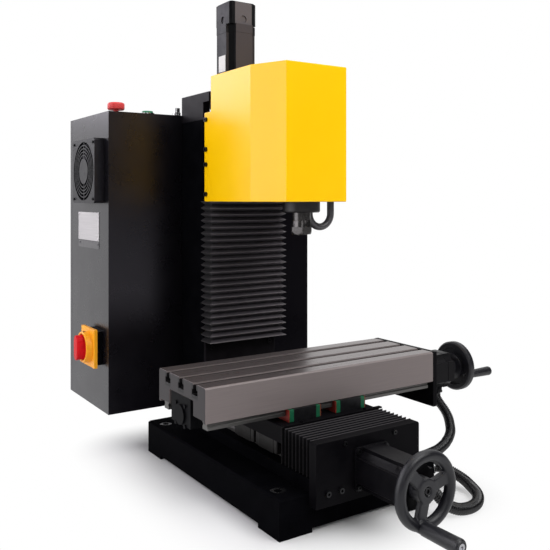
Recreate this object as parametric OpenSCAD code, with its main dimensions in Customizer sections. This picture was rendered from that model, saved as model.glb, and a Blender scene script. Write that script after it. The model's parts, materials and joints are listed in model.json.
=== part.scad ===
// Benchtop CNC mill: cast base and column, T-slot table on linear guides, folded head cover,
// hand wheels on the X and Y motors and a control cabinet behind the column.
// The origin is on the floor, at the centre of the four hold-down holes of the base.
// X runs along the table, Y runs from the front to the cabinet, Z is up.

/* [Base] */
// Width of the base casting
base_w = 296; // [286:1:312]
// Length of the base casting
base_l = 440; // [430:1:452]
// Height of the base casting at its edges
base_h = 57; // [54:1:62]
// Chamfer along the upper edges of the base
base_chamfer = 3; // [1:0.5:5]
// Width of the raised bed that carries the Y rails
bed_w = 192; // [184:1:200]
// Rise of the bed above the base
bed_rise = 18; // [16:1:22]
// Length of each corner foot pad
foot_l = 56; // [40:1:70]
// Relief under the base between the foot pads
foot_gap = 6; // [3:0.5:9]
// Thickness of the ribs under the base
rib_t = 14; // [10:1:18]
// Width of the channel for the Y screw
channel_w = 64; // [60:1:72]
// Floor of the Y screw channel above the table surface
channel_floor = 44; // [40:1:46]
// Distance of the hold-down holes from the sides of the base
hold_side = 20; // [18:1:26]
// Distance of the hold-down holes from the ends of the base
hold_end = 34; // [28:1:40]
// Diameter of the hold-down holes
hold_d = 11; // [8:0.5:13]
// Diameter of the spot face round each hold-down hole
spot_d = 24; // [18:1:26]

/* [Linear guides] */
// Width of every guide rail
rail_w = 15; // [12:0.5:16]
// Height of every guide rail
rail_h = 15; // [13:0.5:16]
// Length of a guide block over its seals
block_l = 61; // [54:1:66]
// Width of a guide block
block_w = 34; // [30:1:36]
// Thickness of a guide block's end cap
cap_t = 8; // [5:0.5:10]
// Thickness of a guide block's end seal
seal_t = 1.5; // [1:0.1:2.5]
// Clearance between a rail and its blocks
rail_clear = 0.4; // [0.3:0.1:0.6]
// Height of the Y guides, bed to saddle
y_guide_h = 28; // [26:1:32]
// Height of the X guides, saddle to table
x_guide_h = 24; // [23:1:28]
// Height of the Z guides, column to carriage
z_guide_h = 24; // [23:1:28]
// Spacing of the Y rails
y_gauge = 140; // [130:1:144]
// Spacing of the Z rails
z_gauge = 104; // [100:1:110]
// Distance of the Y rails from the front of the base
y_rail_in = 14; // [8:1:20]
// Distance of the Y rails from the front plate of the column
y_rail_gap = 4; // [2:1:12]
// Distance of the X rails from the ends of the table
x_rail_in = 7; // [4:1:14]
// Distance of the Z rails from the top of the column
z_rail_gap = 5; // [3:1:12]
// Bottom of the Z rails above the top of the column's front plate
z_rail_up = 26; // [22:1:34]

/* [Saddle and table] */
// Width of the saddle
saddle_w = 184; // [176:1:188]
// Length of the saddle
saddle_l = 180; // [170:1:186]
// Thickness of the saddle
saddle_h = 27; // [24:1:32]
// Place of the saddle and table centre along Y
axis_y = -57; // [-62:1:-52]
// Length of the table
table_l = 450; // [440:1:460]
// Width of the table
table_w = 155; // [154:1:162]
// Thickness of the table
table_h = 48; // [46:1:54]
// Place of the table's centre along X at rest
table_x = 8; // [4:1:12]
// Pitch of the T-slots
slot_pitch = 45; // [40:1:48]
// Width of a T-slot's neck
slot_w = 10; // [8:0.5:12]
// Depth of a T-slot's neck
neck_d = 9; // [7:0.5:10]
// Width of a T-slot's foot
foot_w = 17; // [15:0.5:20]
// Height of a T-slot's foot
foot_h = 8; // [6:0.5:8]
// Width of the skirt in front of and behind the X rails
skirt_w = 5.7; // [4:0.1:7]
// Drop of the skirt below the table's rail seats
skirt_d = 3.5; // [2:0.1:3.6]
// Width of the screw recess under the table
recess_w = 80; // [70:1:82]
// Depth of the screw recess under the table
recess_d = 22; // [20:0.5:24]

/* [Drives] */
// Side of the stepper motors
motor_s = 63; // [60:0.5:66]
// Length of the X and Y motors
motor_l = 94; // [80:1:100]
// Length of the Z motor
z_motor_l = 131; // [110:1:135]
// Side of the brake on the Z motor
brake_s = 57; // [52:1:60]
// Height of the brake on the Z motor
brake_h = 42; // [38:1:46]
// Spacing of a motor's flange screws
flange_pitch = 52; // [50:0.5:54]
// Diameter of the motor shafts
shaft_d = 8; // [6:0.5:10]
// Diameter of the X and Y screws
screw_d = 12; // [11:0.5:14]
// Diameter of the Z screw
z_screw_d = 14; // [12:0.5:16]
// Diameter of the screws' bearing journals
journal_d = 10; // [9:0.5:11]
// Outer diameter of the bearings
bearing_d = 24; // [22:0.5:26]
// Diameter of the shaft couplings
coupling_d = 25; // [20:1:30]
// Length of the shaft couplings
coupling_l = 30; // [26:1:32]
// Running clearance of shafts in their bores
run_clear = 0.08; // [0.02:0.01:0.1]
// Height of the Y screw above the bed
y_screw_rise = 6.5; // [5:0.5:8]
// Distance of the X screw below the table's rail seats
x_screw_drop = 7; // [5:0.5:8]

/* [Motor plates] */
// Width of the Y motor plate
y_plate_w = 196; // [188:1:200]
// Thickness of the Y motor plate
y_plate_t = 17; // [12:1:20]
// Bottom edge of the Y motor plate above the floor
y_plate_z0 = 38; // [30:1:42]
// Top edge of the Y motor plate above the saddle's underside
y_plate_over = 26; // [24:0.5:30]
// Thickness of the X end plate
x_plate_t = 9; // [7:0.5:12]
// Drop of the X end plate below the table
x_plate_drop = 48; // [44:1:52]
// Diameter of the motor pilot holes
pilot_d = 39; // [38:0.5:42]

/* [Hand wheels] */
// Outer diameter of the Y hand wheel
y_wheel_d = 108; // [100:1:118]
// Diameter of the Y hand wheel's rim section
y_rim_d = 16; // [13:0.5:18]
// Diameter of the Y hand wheel's hub
y_hub_d = 34; // [30:1:38]
// Width of the Y hand wheel's spokes
spoke_w = 17; // [14:0.5:22]
// Gap from the Y motor to the Y hand wheel's hub
y_hub_gap = 2; // [1.5:0.5:4]
// Direction of the spoke that carries the Y grip
y_grip_angle = 256; // [180:1:350]
// Diameter of the Y grip
y_grip_d = 21; // [18:0.5:23]
// Length of the Y grip
y_grip_l = 62; // [50:1:70]
// Diameter of the X hand wheel
x_wheel_d = 92; // [84:1:100]
// Thickness of the X hand wheel's rim
x_rim_t = 15; // [12:0.5:18]
// Length of the X hand wheel's hub before the rim
x_hub_l = 24; // [20:1:30]
// Diameter of the X grip at its free end
x_grip_d = 17; // [15:0.5:18]
// Length of the X grip
x_grip_l = 55; // [45:1:60]
// Direction of the X grip on its wheel
x_grip_angle = 200; // [150:1:240]
// Diameter of the handle pins
pin_d = 6; // [5:0.5:7]

/* [Column and head] */
// Width of the column
column_w = 152; // [148:1:156]
// Front face of the column
column_front = 138; // [136:1:142]
// Depth of the column
column_d = 88; // [84:1:92]
// Top of the column above the floor
column_top = 615; // [610:1:622]
// Width of the column's screw channel
z_channel_w = 72; // [70:1:74]
// Depth of the column's screw channel
z_channel_d = 52; // [48:1:56]
// Distance of the Z screw behind the column's front
z_screw_in = 12; // [11:0.5:15]
// Thickness of the front plate below the Z bellows
apron_t = 8; // [6:0.5:8]
// Top of the front plate below the Z bellows
apron_top = 212; // [209:1:220]
// Height of the gap in the Z motor mount
mount_gap = 31; // [30:1:36]
// Thickness of the Z motor mount's top plate
mount_t = 18; // [14:1:20]
// Overhang of the Z motor mount in front of the column
mount_over = 22; // [20:1:24]
// Distance of the head's bottom below the top of the column
head_drop = 150; // [146:1:153]
// Height of the head cover
cover_h = 222; // [212:1:226]
// Width of the head cover
cover_w = 172; // [168:1:176]
// Width of the head cover's front face
cover_front_w = 120; // [110:1:128]
// Front face of the head cover
cover_front = -108; // [-112:1:-106]
// Where the head cover's chamfers end
cover_knee = -43; // [-50:1:-38]
// Back edge of the head cover above its tabs
cover_back = 91; // [88:1:92]
// Sheet thickness of the head cover
cover_t = 2; // [1.5:0.5:3]
// Height of the carriage and of the cover's screw tabs
carriage_h = 159; // [155:1:165]
// Thickness of the carriage
carriage_t = 20; // [16:1:21]

/* [Spindle] */
// Spindle axis along Y
spindle_y = -64; // [-66:1:-60]
// Diameter of the spindle cartridge
cartridge_d = 62; // [58:1:64]
// Length of the cartridge below the head
cartridge_drop = 17.5; // [14:0.5:20]
// Diameter of the spindle nose
nose_d = 30; // [28:0.5:32]
// Length of the spindle nose below the cartridge
nose_l = 13; // [10:0.5:16]
// Diameter of the collet nut
nut_d = 34; // [32:0.5:36]
// Height of the collet nut
nut_h = 23; // [20:0.5:26]
// Bore of the collet
collet_bore = 10; // [6:0.5:12]
// Diameter of the bent pipe
pipe_d = 12; // [10:0.5:12]
// Bend radius of the bent pipe
pipe_r = 22.5; // [21.5:0.5:23]

/* [Bellows] */
// Half width of the Z bellows
z_bellows_w = 82; // [78:1:83]
// Depth of the Z bellows
z_bellows_d = 36; // [34:1:37]
// Folds of the Z bellows
z_folds = 22; // [16:1:26]
// Half width of the Y bellows
y_bellows_w = 96; // [92:1:97]
// Folds of the Y bellows
y_folds = 8; // [6:1:10]
// Depth of each bellows fold
fold_d = 8; // [5:0.5:9]
// Sheet thickness of the bellows
bellows_t = 1.2; // [0.8:0.1:1.6]

/* [Cabinet] */
// Width of the cabinet
cab_w = 446; // [430:1:460]
// Depth of the cabinet
cab_d = 202; // [195:1:215]
// Height of the cabinet
cab_h = 553; // [540:1:565]
// Bottom of the cabinet above the floor
cab_z = 77; // [70:1:85]
// Sheet thickness of the cabinet
sheet = 2; // [1.5:0.5:2.5]
// Depth of the door tray
door_t = 13; // [10:1:16]
// Width of the rim round the cabinet's back opening
lip = 14; // [10:1:18]
// Diameter of the hinge pins
hinge_pin_d = 5; // [4:0.5:6]

/* [Cabinet fittings] */
// Side of the fan
fan_s = 120; // [112:1:124]
// Depth of the fan
fan_t = 17; // [15:1:20]
// Distance of the fan's centre behind the cabinet's front
fan_in = 81; // [74:1:90]
// Distance of the fan's centre below the cabinet's top
fan_down = 108; // [98:1:123]
// Thickness of the fan's cover plate
guard_t = 2; // [1.5:0.5:3]
// Side of the main switch plate
switch_s = 76; // [70:1:80]
// Thickness of the main switch plate
switch_t = 12; // [8:1:14]
// Distance of the switch's centre behind the cabinet's front
switch_in = 64; // [60:1:75]
// Height of the switch's centre above the cabinet's bottom
switch_up = 116; // [100:1:130]
// Diameter of the switch knob
knob_d = 56; // [48:1:60]
// Diameter of the emergency stop
stop_d = 32; // [30:1:38]
// Travel of the emergency stop
stop_travel = 4; // [3:0.5:5]
// Distance of the emergency stop from the cabinet's left side
stop_in = 33; // [26:1:40]
// Distance of the start button from the cabinet's left side
start_in = 97; // [90:1:120]
// Distance of the round connector from the cabinet's left side
plug_in = 175; // [160:1:190]
// Distance of the push buttons behind the cabinet's front
button_in = 48; // [40:1:56]
// Distance of the round connector behind the cabinet's front
plug_back = 80; // [66:1:90]
// Diameter of the start button's bezel
start_d = 28; // [26:1:30]
// Travel of the start button
start_travel = 3; // [2:0.5:3]
// Diameter of the push buttons' mounting barrels
barrel_d = 22; // [20:0.5:23]

/* [Conduits] */
// Diameter of the corrugated conduits
conduit_d = 18; // [16:0.5:18.5]
// Length of a conduit gland's body
gland_l = 18; // [14:1:20]
// Diameter of a conduit gland
gland_d = 25; // [24:0.5:27]
// Distance of the table conduit's gland from the front of the base
table_gland_in = 70; // [62:1:80]
// Distance of the floor conduit's gland from the front of the base
floor_gland_in = 25; // [20:1:30]
// Height of the glands on the base
base_gland_z = 32; // [28:1:36]
// Distance of the gland on the Y motor from its flange
motor_gland_in = 23; // [20:1:40]
// Height of the gland on the Y motor
motor_gland_z = 80; // [76:1:88]
// Distance of the X motor's outlet from the motor's back
outlet_in = 26; // [22:1:34]
// Drop of the X motor's outlet below the motor
outlet_drop = 8.5; // [7:0.5:12]

/* [Hidden] */
$fn = 64;
slack = 0.3;
seat = 0.02;
bed_top = base_h + bed_rise;
base_front = -base_l / 2;
hold_x = base_w - 2 * hold_side;
hold_y = base_l - 2 * hold_end;
saddle_z = bed_top + y_guide_h;
saddle_top = saddle_z + saddle_h;
saddle_front = axis_y - saddle_l / 2;
table_z = saddle_top + x_guide_h;
table_top = table_z + table_h;
table_x0 = table_x - table_l / 2;
table_x1 = table_x + table_l / 2;
x_gauge = table_w - 2 * skirt_w - 2 * slack - rail_w;
block_gap = 4;
body_l = block_l - 2 * cap_t - 2 * seal_t;
y_block_y = block_l / 2 + 3;
x_block_x = 45;
y_screw_z = bed_top + y_screw_rise;
x_screw_z = table_z - x_screw_drop;
y_plate_front = base_front - y_plate_t;
y_plate_top = saddle_z + y_plate_over;
y_motor_back = y_plate_front - motor_l;
x_plate_x = table_x1 + x_plate_t;
x_motor_back = x_plate_x + motor_l;
y_rail_y0 = base_front + y_rail_in;
y_rail_l = column_front - apron_t - y_rail_gap - y_rail_y0;
x_rail_l = table_l - 2 * x_rail_in;
z_rail_z0 = apron_top + z_rail_up;
z_rail_l = column_top - z_rail_gap - z_rail_z0;
head_z = column_top - head_drop;
column_back = column_front + column_d;
z_screw_y = column_front + z_screw_in;
carriage_back = column_front - z_guide_h;
carriage_front = carriage_back - carriage_t;
mount_z = column_top + mount_gap;
z_motor_z = mount_z + mount_t;
z_block_z = [head_z + 38, head_z + carriage_h - 50];
bearing_t = 22;
ring_t = 10;
wheel_rim_r = y_wheel_d / 2 - y_rim_d / 2;
y_wheel_y = y_motor_back - y_hub_gap - 16;
x_wheel_x = x_motor_back + 2 + x_hub_l;
x_seat = x_rim_t - 4;
x_grip_r = x_wheel_d * 0.37;
cab_y = column_back;
cab_back = cab_y + cab_d;
cab_top = cab_z + cab_h;
cab_side = -cab_w / 2;
hinge_x = cab_w / 2 + 6;
hinge_y = cab_back;
hinge_z = [cab_z + 90, cab_top - 90];
hinge_r = hinge_pin_d / 2 + 2;
knuckle_l = 24;
door_gap = 0.5;
fan_y = cab_y + fan_in;
fan_z = cab_top - fan_down;
switch_y = cab_y + switch_in;
switch_z = cab_z + switch_up;
stop_x = cab_side + stop_in;
start_x = cab_side + start_in;
button_y = cab_y + button_in;
plug_x = cab_side + plug_in;
plug_y = cab_y + plug_back;
spindle_flange_z = head_z - cartridge_drop;
nut_top = spindle_flange_z - nose_l;
nut_bottom = nut_top - nut_h;
chamfer_run = cover_knee - cover_front;
chamfer_in = (cover_w - cover_front_w) / 2;
chamfer_angle = atan2(chamfer_in, chamfer_run);
cover_screw_z = [13, 66, 93, 146];
cover_screw_y = carriage_front + carriage_t * 0.65;
outlet = [x_motor_back - outlet_in, axis_y - 9, x_screw_z - motor_s / 2 - outlet_drop];
base_gland_y = [base_front + table_gland_in, base_front + floor_gland_in];
base_gland_end = base_w / 2 + gland_l;
motor_gland_y = y_plate_front - motor_gland_in;
motor_gland_end = (motor_s - 1) / 2 + gland_l;

// Route of the table conduit's upper half, from the outlet under the X motor to the middle of its loop
upper_points = [
    [310, -66, 107], [310, -66, 98], [313, -72, 87], [317, -81, 75], [317, -90, 64],
    [311, -100, 54], [302, -110, 45], [286, -120, 38], [276, -125, 36]
];
// Route of its lower half, from the middle of the loop to the side of the base
lower_points = [
    [276, -125, 36], [266, -130, 34], [240, -140, 32], [212, -147, 32],
    [190, -150, 32], [178, -150, 32], [166, -150, 32]
];
// Route of the floor conduit, from the side of the base over the floor and up to the Y motor
floor_points = [
    [166, -195, 32], [177, -195, 32], [189, -201, 29], [198, -214, 23], [203, -231, 16.5], [201, -249, 11],
    [192, -268, 9.2], [177, -284, 9.2], [158, -296, 9.2], [138, -300, 9.2], [119, -297, 11], [104,
    -290, 18],
    [93, -281, 31], [85, -272, 47], [77, -266, 62], [70, -262, 74], [60, -260, 80], [49, -260, 80]
];
table_shift = outlet - upper_points[0];
base_shift = [base_gland_end, base_gland_y[0], base_gland_z] - lower_points[len(lower_points) - 1];
loop_shift = (table_shift + base_shift) / 2;
start_shift = [base_gland_end, base_gland_y[1], base_gland_z] - floor_points[0];
end_shift = [motor_gland_end, motor_gland_y, motor_gland_z] - floor_points[len(floor_points) - 1];

// Shapes that repeat

// Box between two corners
module box(low, high) {
    translate(low)
        cube(high - low);
}

// Block that stands on z = 0 with a chamfer along its four upper edges
module chamfered_block(w, l, h, c) {
    intersection() {
        rotate([90, 0, 0])
            linear_extrude(l, center = true)
                chamfer_profile(w, h, c);
        rotate([90, 0, 90])
            linear_extrude(w, center = true)
                chamfer_profile(l, h, c);
    }
}

module chamfer_profile(w, h, c) {
    polygon([[-w / 2, 0], [w / 2, 0], [w / 2, h - c], [w / 2 - c, h], [-w / 2 + c, h], [-w / 2, h - c]]);
}

// Places its children along +X, +Y, -X or -Y, from their own +Z
module along_x(p) {
    translate(p)
        rotate([0, 90, 0])
            children();
}

module along_y(p) {
    translate(p)
        rotate([-90, 0, 0])
            children();
}

module against_x(p) {
    translate(p)
        rotate([0, -90, 0])
            children();
}

module against_y(p) {
    translate(p)
        rotate([90, 0, 0])
            children();
}

// Hollow round bar
module tube(r_out, r_in, h) {
    difference() {
        cylinder(r = r_out, h = h);
        translate([0, 0, -1])
            cylinder(r = r_in, h = h + 2);
    }
}

// Four copies at the corners of a square
module at_corners(pitch) {
    for (sx = [-1, 1], sy = [-1, 1])
        translate([sx * pitch / 2, sy * pitch / 2, 0])
            children();
}

// Socket head screw whose head stands on z = 0
module cap_screw(d) {
    difference() {
        cylinder(d = d * 1.7, h = d * 0.8);
        translate([0, 0, d * 0.3])
            cylinder(d = d * 0.9, h = d, $fn = 6);
    }
}

// Guide rail section with ball grooves, standing on y = 0
module rail_profile() {
    w = rail_w / 2;
    groove = 1.6;
    low = rail_h * 0.35;
    high = rail_h * 0.7;
    polygon([
        [-w, 0], [w, 0], [w, low], [w - groove, low + 2], [w - groove, high - 2], [w, high], [w, rail_h],
        [-w, rail_h], [-w, high], [-w + groove, high - 2], [-w + groove, low + 2], [-w, low]
    ]);
}

// Guide rail along +Z with its base on y = 0 and counterbored screw holes
module rail(length) {
    hole_pitch = 60;
    count = floor((length - 20) / hole_pitch);
    difference() {
        linear_extrude(length)
            rail_profile();
        for (i = [0:count])
            translate([0, -1, (length - count * hole_pitch) / 2 + i * hole_pitch])
                rotate([-90, 0, 0])
                    union() {
                        cylinder(d = 4.5, h = rail_h + 2);
                        translate([0, 0, rail_h - 4])
                            cylinder(d = 7.5, h = 6);
                    }
    }
}

// Section of a guide block on a rail that stands on y = 0
module block_profile(h, inset) {
    difference() {
        translate([-block_w / 2 + inset, block_gap + inset])
            square([block_w - 2 * inset, h - block_gap - 2 * inset]);
        translate([-rail_w / 2 - rail_clear, 0])
            square([rail_w + 2 * rail_clear, rail_h + rail_clear]);
    }
}

// Steel body of a guide block, centred on z = 0
module block_body(h) {
    linear_extrude(body_l, center = true)
        block_profile(h, 0);
}

module block_caps(h) {
    for (s = [-1, 1])
        translate([0, 0, s * (body_l + cap_t) / 2])
            linear_extrude(cap_t, center = true)
                block_profile(h, 0.6);
}

module block_seals(h) {
    for (s = [-1, 1])
        translate([0, 0, s * (block_l - seal_t) / 2])
            linear_extrude(seal_t, center = true)
                block_profile(h, 1);
}

// The four places of the Y guide blocks: rails along Y, standing on the bed
module at_y_blocks() {
    for (sx = [-1, 1], sy = [-1, 1])
        translate([sx * y_gauge / 2, axis_y + sy * y_block_y, bed_top])
            rotate([90, 0, 0])
                children();
}

// The four places of the X guide blocks: rails along X, hung under the table
module at_x_blocks() {
    for (sx = [-1, 1], sy = [-1, 1])
        translate([sx * x_block_x, axis_y + sy * x_gauge / 2, table_z])
            rotate([-90, 0, 90])
                children();
}

// The four places of the Z guide blocks: rails along Z, on the column's front
module at_z_blocks() {
    for (sx = [-1, 1], z = z_block_z)
        translate([sx * z_gauge / 2, column_front, z])
            rotate([0, 0, 180])
                children();
}

// Section of a stepper motor with stepped corners
module motor_profile(s) {
    a = s / 2;
    flat = a * 0.58;
    step = a * 0.16;
    corner = [[a, flat], [a - step, flat], [flat, a - step], [flat, a]];
    polygon([for (q = [0:3], p = corner) rotated(p, q * 90)]);
}

function rotated(p, angle) = [p[0] * cos(angle) - p[1] * sin(angle), p[0] * sin(angle) + p[1] * cos(angle)];

// Stepper motor on z = 0 along +Z: flange, laminated body and end bell, bored for its shaft
module motor(length, bore) {
    flange_t = 5;
    bell_t = 16;
    difference() {
        union() {
            linear_extrude(flange_t)
                flange_profile(motor_s);
            translate([0, 0, flange_t])
                linear_extrude(length - flange_t - bell_t)
                    motor_profile(motor_s - 1);
            translate([0, 0, length - bell_t])
                linear_extrude(bell_t)
                    motor_profile(motor_s);
        }
        translate([0, 0, -1])
            cylinder(d = bore, h = length + 2);
    }
}

module flange_profile(s) {
    c = 4;
    a = s / 2;
    polygon([for (q = [0:3], p = [[a, a - c], [a - c, a]]) rotated(p, q * 90)]);
}

// Screw bearing housing on z = 0 along +Z, with its foot at y = -foot
module bearing_housing(w, foot, head) {
    difference() {
        translate([-w / 2, -foot, 0])
            cube([w, foot + head, bearing_t]);
        translate([0, 0, -1])
            cylinder(d = bearing_d, h = bearing_t + 2);
    }
}

// The two bearings in a housing
module bearing_pair() {
    for (z = [0, bearing_t - ring_t])
        translate([0, 0, z])
            tube(bearing_d / 2 - seat, journal_d / 2 + run_clear, ring_t);
}

// Screw with two journals and a coupling end, along +Z from z = 0
module ball_screw(d, length, tail, end_l) {
    cylinder(d = journal_d, h = tail);
    translate([0, 0, tail])
        cylinder(d = d, h = length - 2 * tail);
    translate([0, 0, length - tail])
        cylinder(d = journal_d, h = tail);
    translate([0, 0, length])
        cylinder(d = shaft_d, h = end_l);
}

// Clamp coupling on z = 0, with its slits and its bore
module coupling() {
    difference() {
        cylinder(d = coupling_d, h = coupling_l);
        translate([0, 0, -1])
            cylinder(d = shaft_d + 2 * seat, h = coupling_l + 2);
        for (i = [-1, 0, 1])
            translate([i == 0 ? -coupling_d : -2, -coupling_d, coupling_l / 2 + i * 4 - 0.6])
                cube([coupling_d + 2, 2 * coupling_d, 1.2]);
    }
}

// Folded cover with a U section that opens towards +Y, along +Z from z = 0
module bellows(length, folds, half_w, depth) {
    stations = 2 * folds;
    rings = [for (i = [0:stations]) fold_ring(i % 2 == 0 ? 0 : fold_d, half_w, depth,
        i * length / stations)];
    points = [for (ring = rings, p = ring) p];
    sides = [
        for (i = [0:stations - 1], j = [0:7])
            [i * 8 + j, i * 8 + (j + 1) % 8, (i + 1) * 8 + (j + 1) % 8, (i + 1) * 8 + j]
    ];
    bottom = [[0, 7, 6, 1], [1, 6, 5, 2], [2, 5, 4, 3]];
    top = [for (f = bottom) [for (k = [3:-1:0]) stations * 8 + f[k]]];
    polyhedron(points, concat([for (f = sides) [f[3], f[2], f[1], f[0]]], [for (f = bottom) [f[3],
        f[2], f[1], f[0]]],
        [for (f = top) [f[3], f[2], f[1], f[0]]]));
}

function fold_ring(inset, half_w, depth, z) =
    let (w = half_w - inset, v = w - bellows_t, f = inset, g = inset + bellows_t)
    [[-w, depth, z], [-w, f, z], [w, f, z], [w, depth, z], [v, depth, z], [v, g, z], [-v, g, z],
    [-v, depth, z]];

// Round tube along a route, with the section turned from a fixed direction
module swept_tube(route, d, reference) {
    sides = 10;
    last = len(route) - 1;
    points = [
        for (i = [0:last], j = [0:sides - 1])
            route[i] + d / 2 * section_point(route_direction(route, i), reference, j * 360 / sides)
    ];
    walls = [
        for (i = [0:last - 1], j = [0:sides - 1])
            [i * sides + j, i * sides + (j + 1) % sides, (i + 1) * sides + (j + 1) % sides,
            (i + 1) * sides + j]
    ];
    start = [[for (j = [sides - 1:-1:0]) j]];
    end = [[for (j = [0:sides - 1]) last * sides + j]];
    polyhedron(points, [for (f = concat(walls, start, end)) [for (k = [len(f) - 1:-1:0]) f[k]]]);
}

// Route carried along by its two ends
function carried(points, first, last) =
    let (n = len(points) - 1)
    [for (i = [0:n]) points[i] + first + (last - first) * i / n];

function unit(v) = v / norm(v);

function route_direction(route, i) =
    let (last = len(route) - 1)
    unit(route[min(i + 1, last)] - route[max(i - 1, 0)]);

function section_point(direction, reference, angle) =
    let (side = unit(cross(direction, reference)))
    cos(angle) * side + sin(angle) * cross(direction, side);

// Base

module base_casting() {
    inner_w = base_w - 2 * rib_t;
    inner_l = base_l - 2 * rib_t;
    nx = 2;
    ny = 3;
    cell_w = (inner_w - (nx - 1) * rib_t) / nx;
    cell_l = (inner_l - (ny - 1) * rib_t) / ny;
    pocket_top = channel_floor - rib_t;
    color("#1b1b1f")
        difference() {
            union() {
                difference() {
                    chamfered_block(base_w, base_l, base_h, base_chamfer);
                    for (i = [0:nx - 1], j = [0:ny - 1])
                        translate([-inner_w / 2 + i * (cell_w + rib_t),
                            -inner_l / 2 + j * (cell_l + rib_t), -1])
                            cube([cell_w, cell_l, pocket_top + 1]);
                }
                box([-bed_w / 2, base_front, base_h - 1], [bed_w / 2, column_front - 10, bed_top]);
                for (sx = [-1, 1], sy = [-1, 1])
                    translate([sx * hold_x / 2, sy * hold_y / 2, 0])
                        cylinder(d = spot_d + 6, h = pocket_top + 1);
            }
            box([-channel_w / 2, base_front - 1, channel_floor], [channel_w / 2, column_front - 9,
                bed_top + 1]);
            box([-base_w / 2 + foot_l, -base_l, -1], [base_w / 2 - foot_l, base_l, foot_gap]);
            box([-base_w, base_front + foot_l, -1], [base_w, -base_front - foot_l, foot_gap]);
            for (sx = [-1, 1], sy = [-1, 1])
                translate([sx * hold_x / 2, sy * hold_y / 2, -1])
                    union() {
                        cylinder(d = hold_d, h = base_h + 2);
                        translate([0, 0, base_h - 1])
                            cylinder(d = spot_d, h = 4);
                    }
        }
}

module y_rails() {
    color("#9a9aa0")
        for (sx = [-1, 1])
            translate([sx * y_gauge / 2, y_rail_y0, bed_top])
                rotate([90, 0, 180])
                    rail(y_rail_l);
}

module y_motor_plate() {
    color("#141417")
        difference() {
            translate([0, base_front, y_plate_z0])
                rotate([90, 0, 0])
                    linear_extrude(y_plate_t)
                        chamfer_profile(y_plate_w, y_plate_top - y_plate_z0, 2);
            against_y([0, base_front + 1, y_screw_z])
                cylinder(d = pilot_d, h = y_plate_t + 2);
        }
}

module y_motor() {
    color("#17171a")
        against_y([0, y_plate_front, y_screw_z])
            motor(motor_l, shaft_d + 2 * run_clear);
}

// Housings and bearings of the Y screw in the bed and of the Z screw in the column
y_housing_in = 40;
housing_gap = 14;
y_housing_y = [base_front + y_housing_in, column_front - bearing_t - housing_gap];
z_housing_z = [z_rail_z0 + 4, column_top - bearing_t - 5];
module screw_bearings() {
    color("#2a2a2e") {
        for (y = y_housing_y)
            along_y([0, y, y_screw_z])
                rotate([0, 0, 180]) {
                    bearing_housing(channel_w - 2, y_screw_z - channel_floor, saddle_z - y_screw_z - 3);
                    bearing_pair();
                }
        for (z = z_housing_z)
            translate([0, z_screw_y, z])
                rotate([0, 0, 180]) {
                    bearing_housing(z_channel_w - 6, z_channel_d - z_screw_in, bearing_d / 2 + 6);
                    bearing_pair();
                }
    }
}

module column() {
    w = column_w / 2;
    c = z_channel_w / 2;
    edge = 2;
    color("#151518")
        translate([0, column_front, base_h])
            linear_extrude(column_top - base_h)
                polygon([
                    [-w + edge, 0], [-c, 0], [-c, z_channel_d], [c, z_channel_d], [c, 0],
                    [w - edge, 0], [w, edge],
                    [w, column_d - edge], [w - edge, column_d], [-w + edge, column_d], [-w,
                    column_d - edge], [-w, edge]
                ]);
}

module column_apron() {
    color("#151518")
        box([-column_w / 2 + 1, column_front - apron_t, base_h], [column_w / 2 - 1, column_front,
            apron_top]);
}

module z_rails() {
    color("#9a9aa0")
        for (sx = [-1, 1])
            translate([sx * z_gauge / 2, column_front, z_rail_z0])
                rotate([0, 0, 180])
                    rail(z_rail_l);
}

module z_motor_mount() {
    side_t = 14;
    w = column_w / 2;
    color("#19191c")
        difference() {
            union() {
                for (x = [-w, w - side_t])
                    box([x, column_front, column_top], [x + side_t, column_back, mount_z]);
                box([-w, column_front - mount_over, mount_z], [w, column_back, z_motor_z]);
            }
            translate([0, z_screw_y, mount_z - 1])
                cylinder(d = pilot_d, h = mount_t + 2);
        }
}

module z_motor() {
    color("#17171a")
        translate([0, z_screw_y, z_motor_z])
            motor(z_motor_l, shaft_d + 2 * run_clear);
}

module z_brake() {
    boss_d = 13;
    color("#1a1a1d")
        translate([0, z_screw_y, z_motor_z + z_motor_l])
            difference() {
                union() {
                    linear_extrude(brake_h - 2)
                        flange_profile(brake_s);
                    translate([0, 0, brake_h - 2])
                        linear_extrude(2)
                            flange_profile(brake_s - 4);
                }
                for (q = [0:3])
                    rotate([0, 0, q * 90])
                        translate([brake_s / 2 - 2, 0, 10])
                            rotate([0, 90, 0])
                                cylinder(d = boss_d, h = 4);
            }
}

module z_bellows() {
    color("#333338")
        translate([0, column_front - 2 - z_bellows_d, apron_top])
            bellows(head_z - slack - apron_top, z_folds, z_bellows_w, z_bellows_d);
}

module y_bellows() {
    color("#333338")
        translate([0, base_front + slack, saddle_top])
            rotate([-90, 0, 0])
                bellows(saddle_front - base_front - 2 * slack, y_folds, y_bellows_w,
                    saddle_top - bed_top - 0.5);
}

// Cabinet

module cabinet_shell() {
    w = cab_w / 2;
    color("#17171a")
        difference() {
            union() {
                difference() {
                    box([-w, cab_y, cab_z], [w, cab_back, cab_top]);
                    box([-w + sheet, cab_y + sheet, cab_z + sheet], [w - sheet, cab_back - sheet,
                        cab_top - sheet]);
                    box([-w + lip, cab_back - sheet - 1, cab_z + lip], [w - lip, cab_back + 1,
                        cab_top - lip]);
                }
                for (z = hinge_z)
                    fixed_knuckle(z);
            }
            against_x([cab_side + sheet + 1, fan_y, fan_z])
                cylinder(d = fan_s * 0.65, h = sheet + 2);
            for (x = [stop_x, start_x])
                translate([x, button_y, cab_top - sheet - 1])
                    cylinder(d = barrel_d, h = sheet + 2);
        }
}

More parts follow.
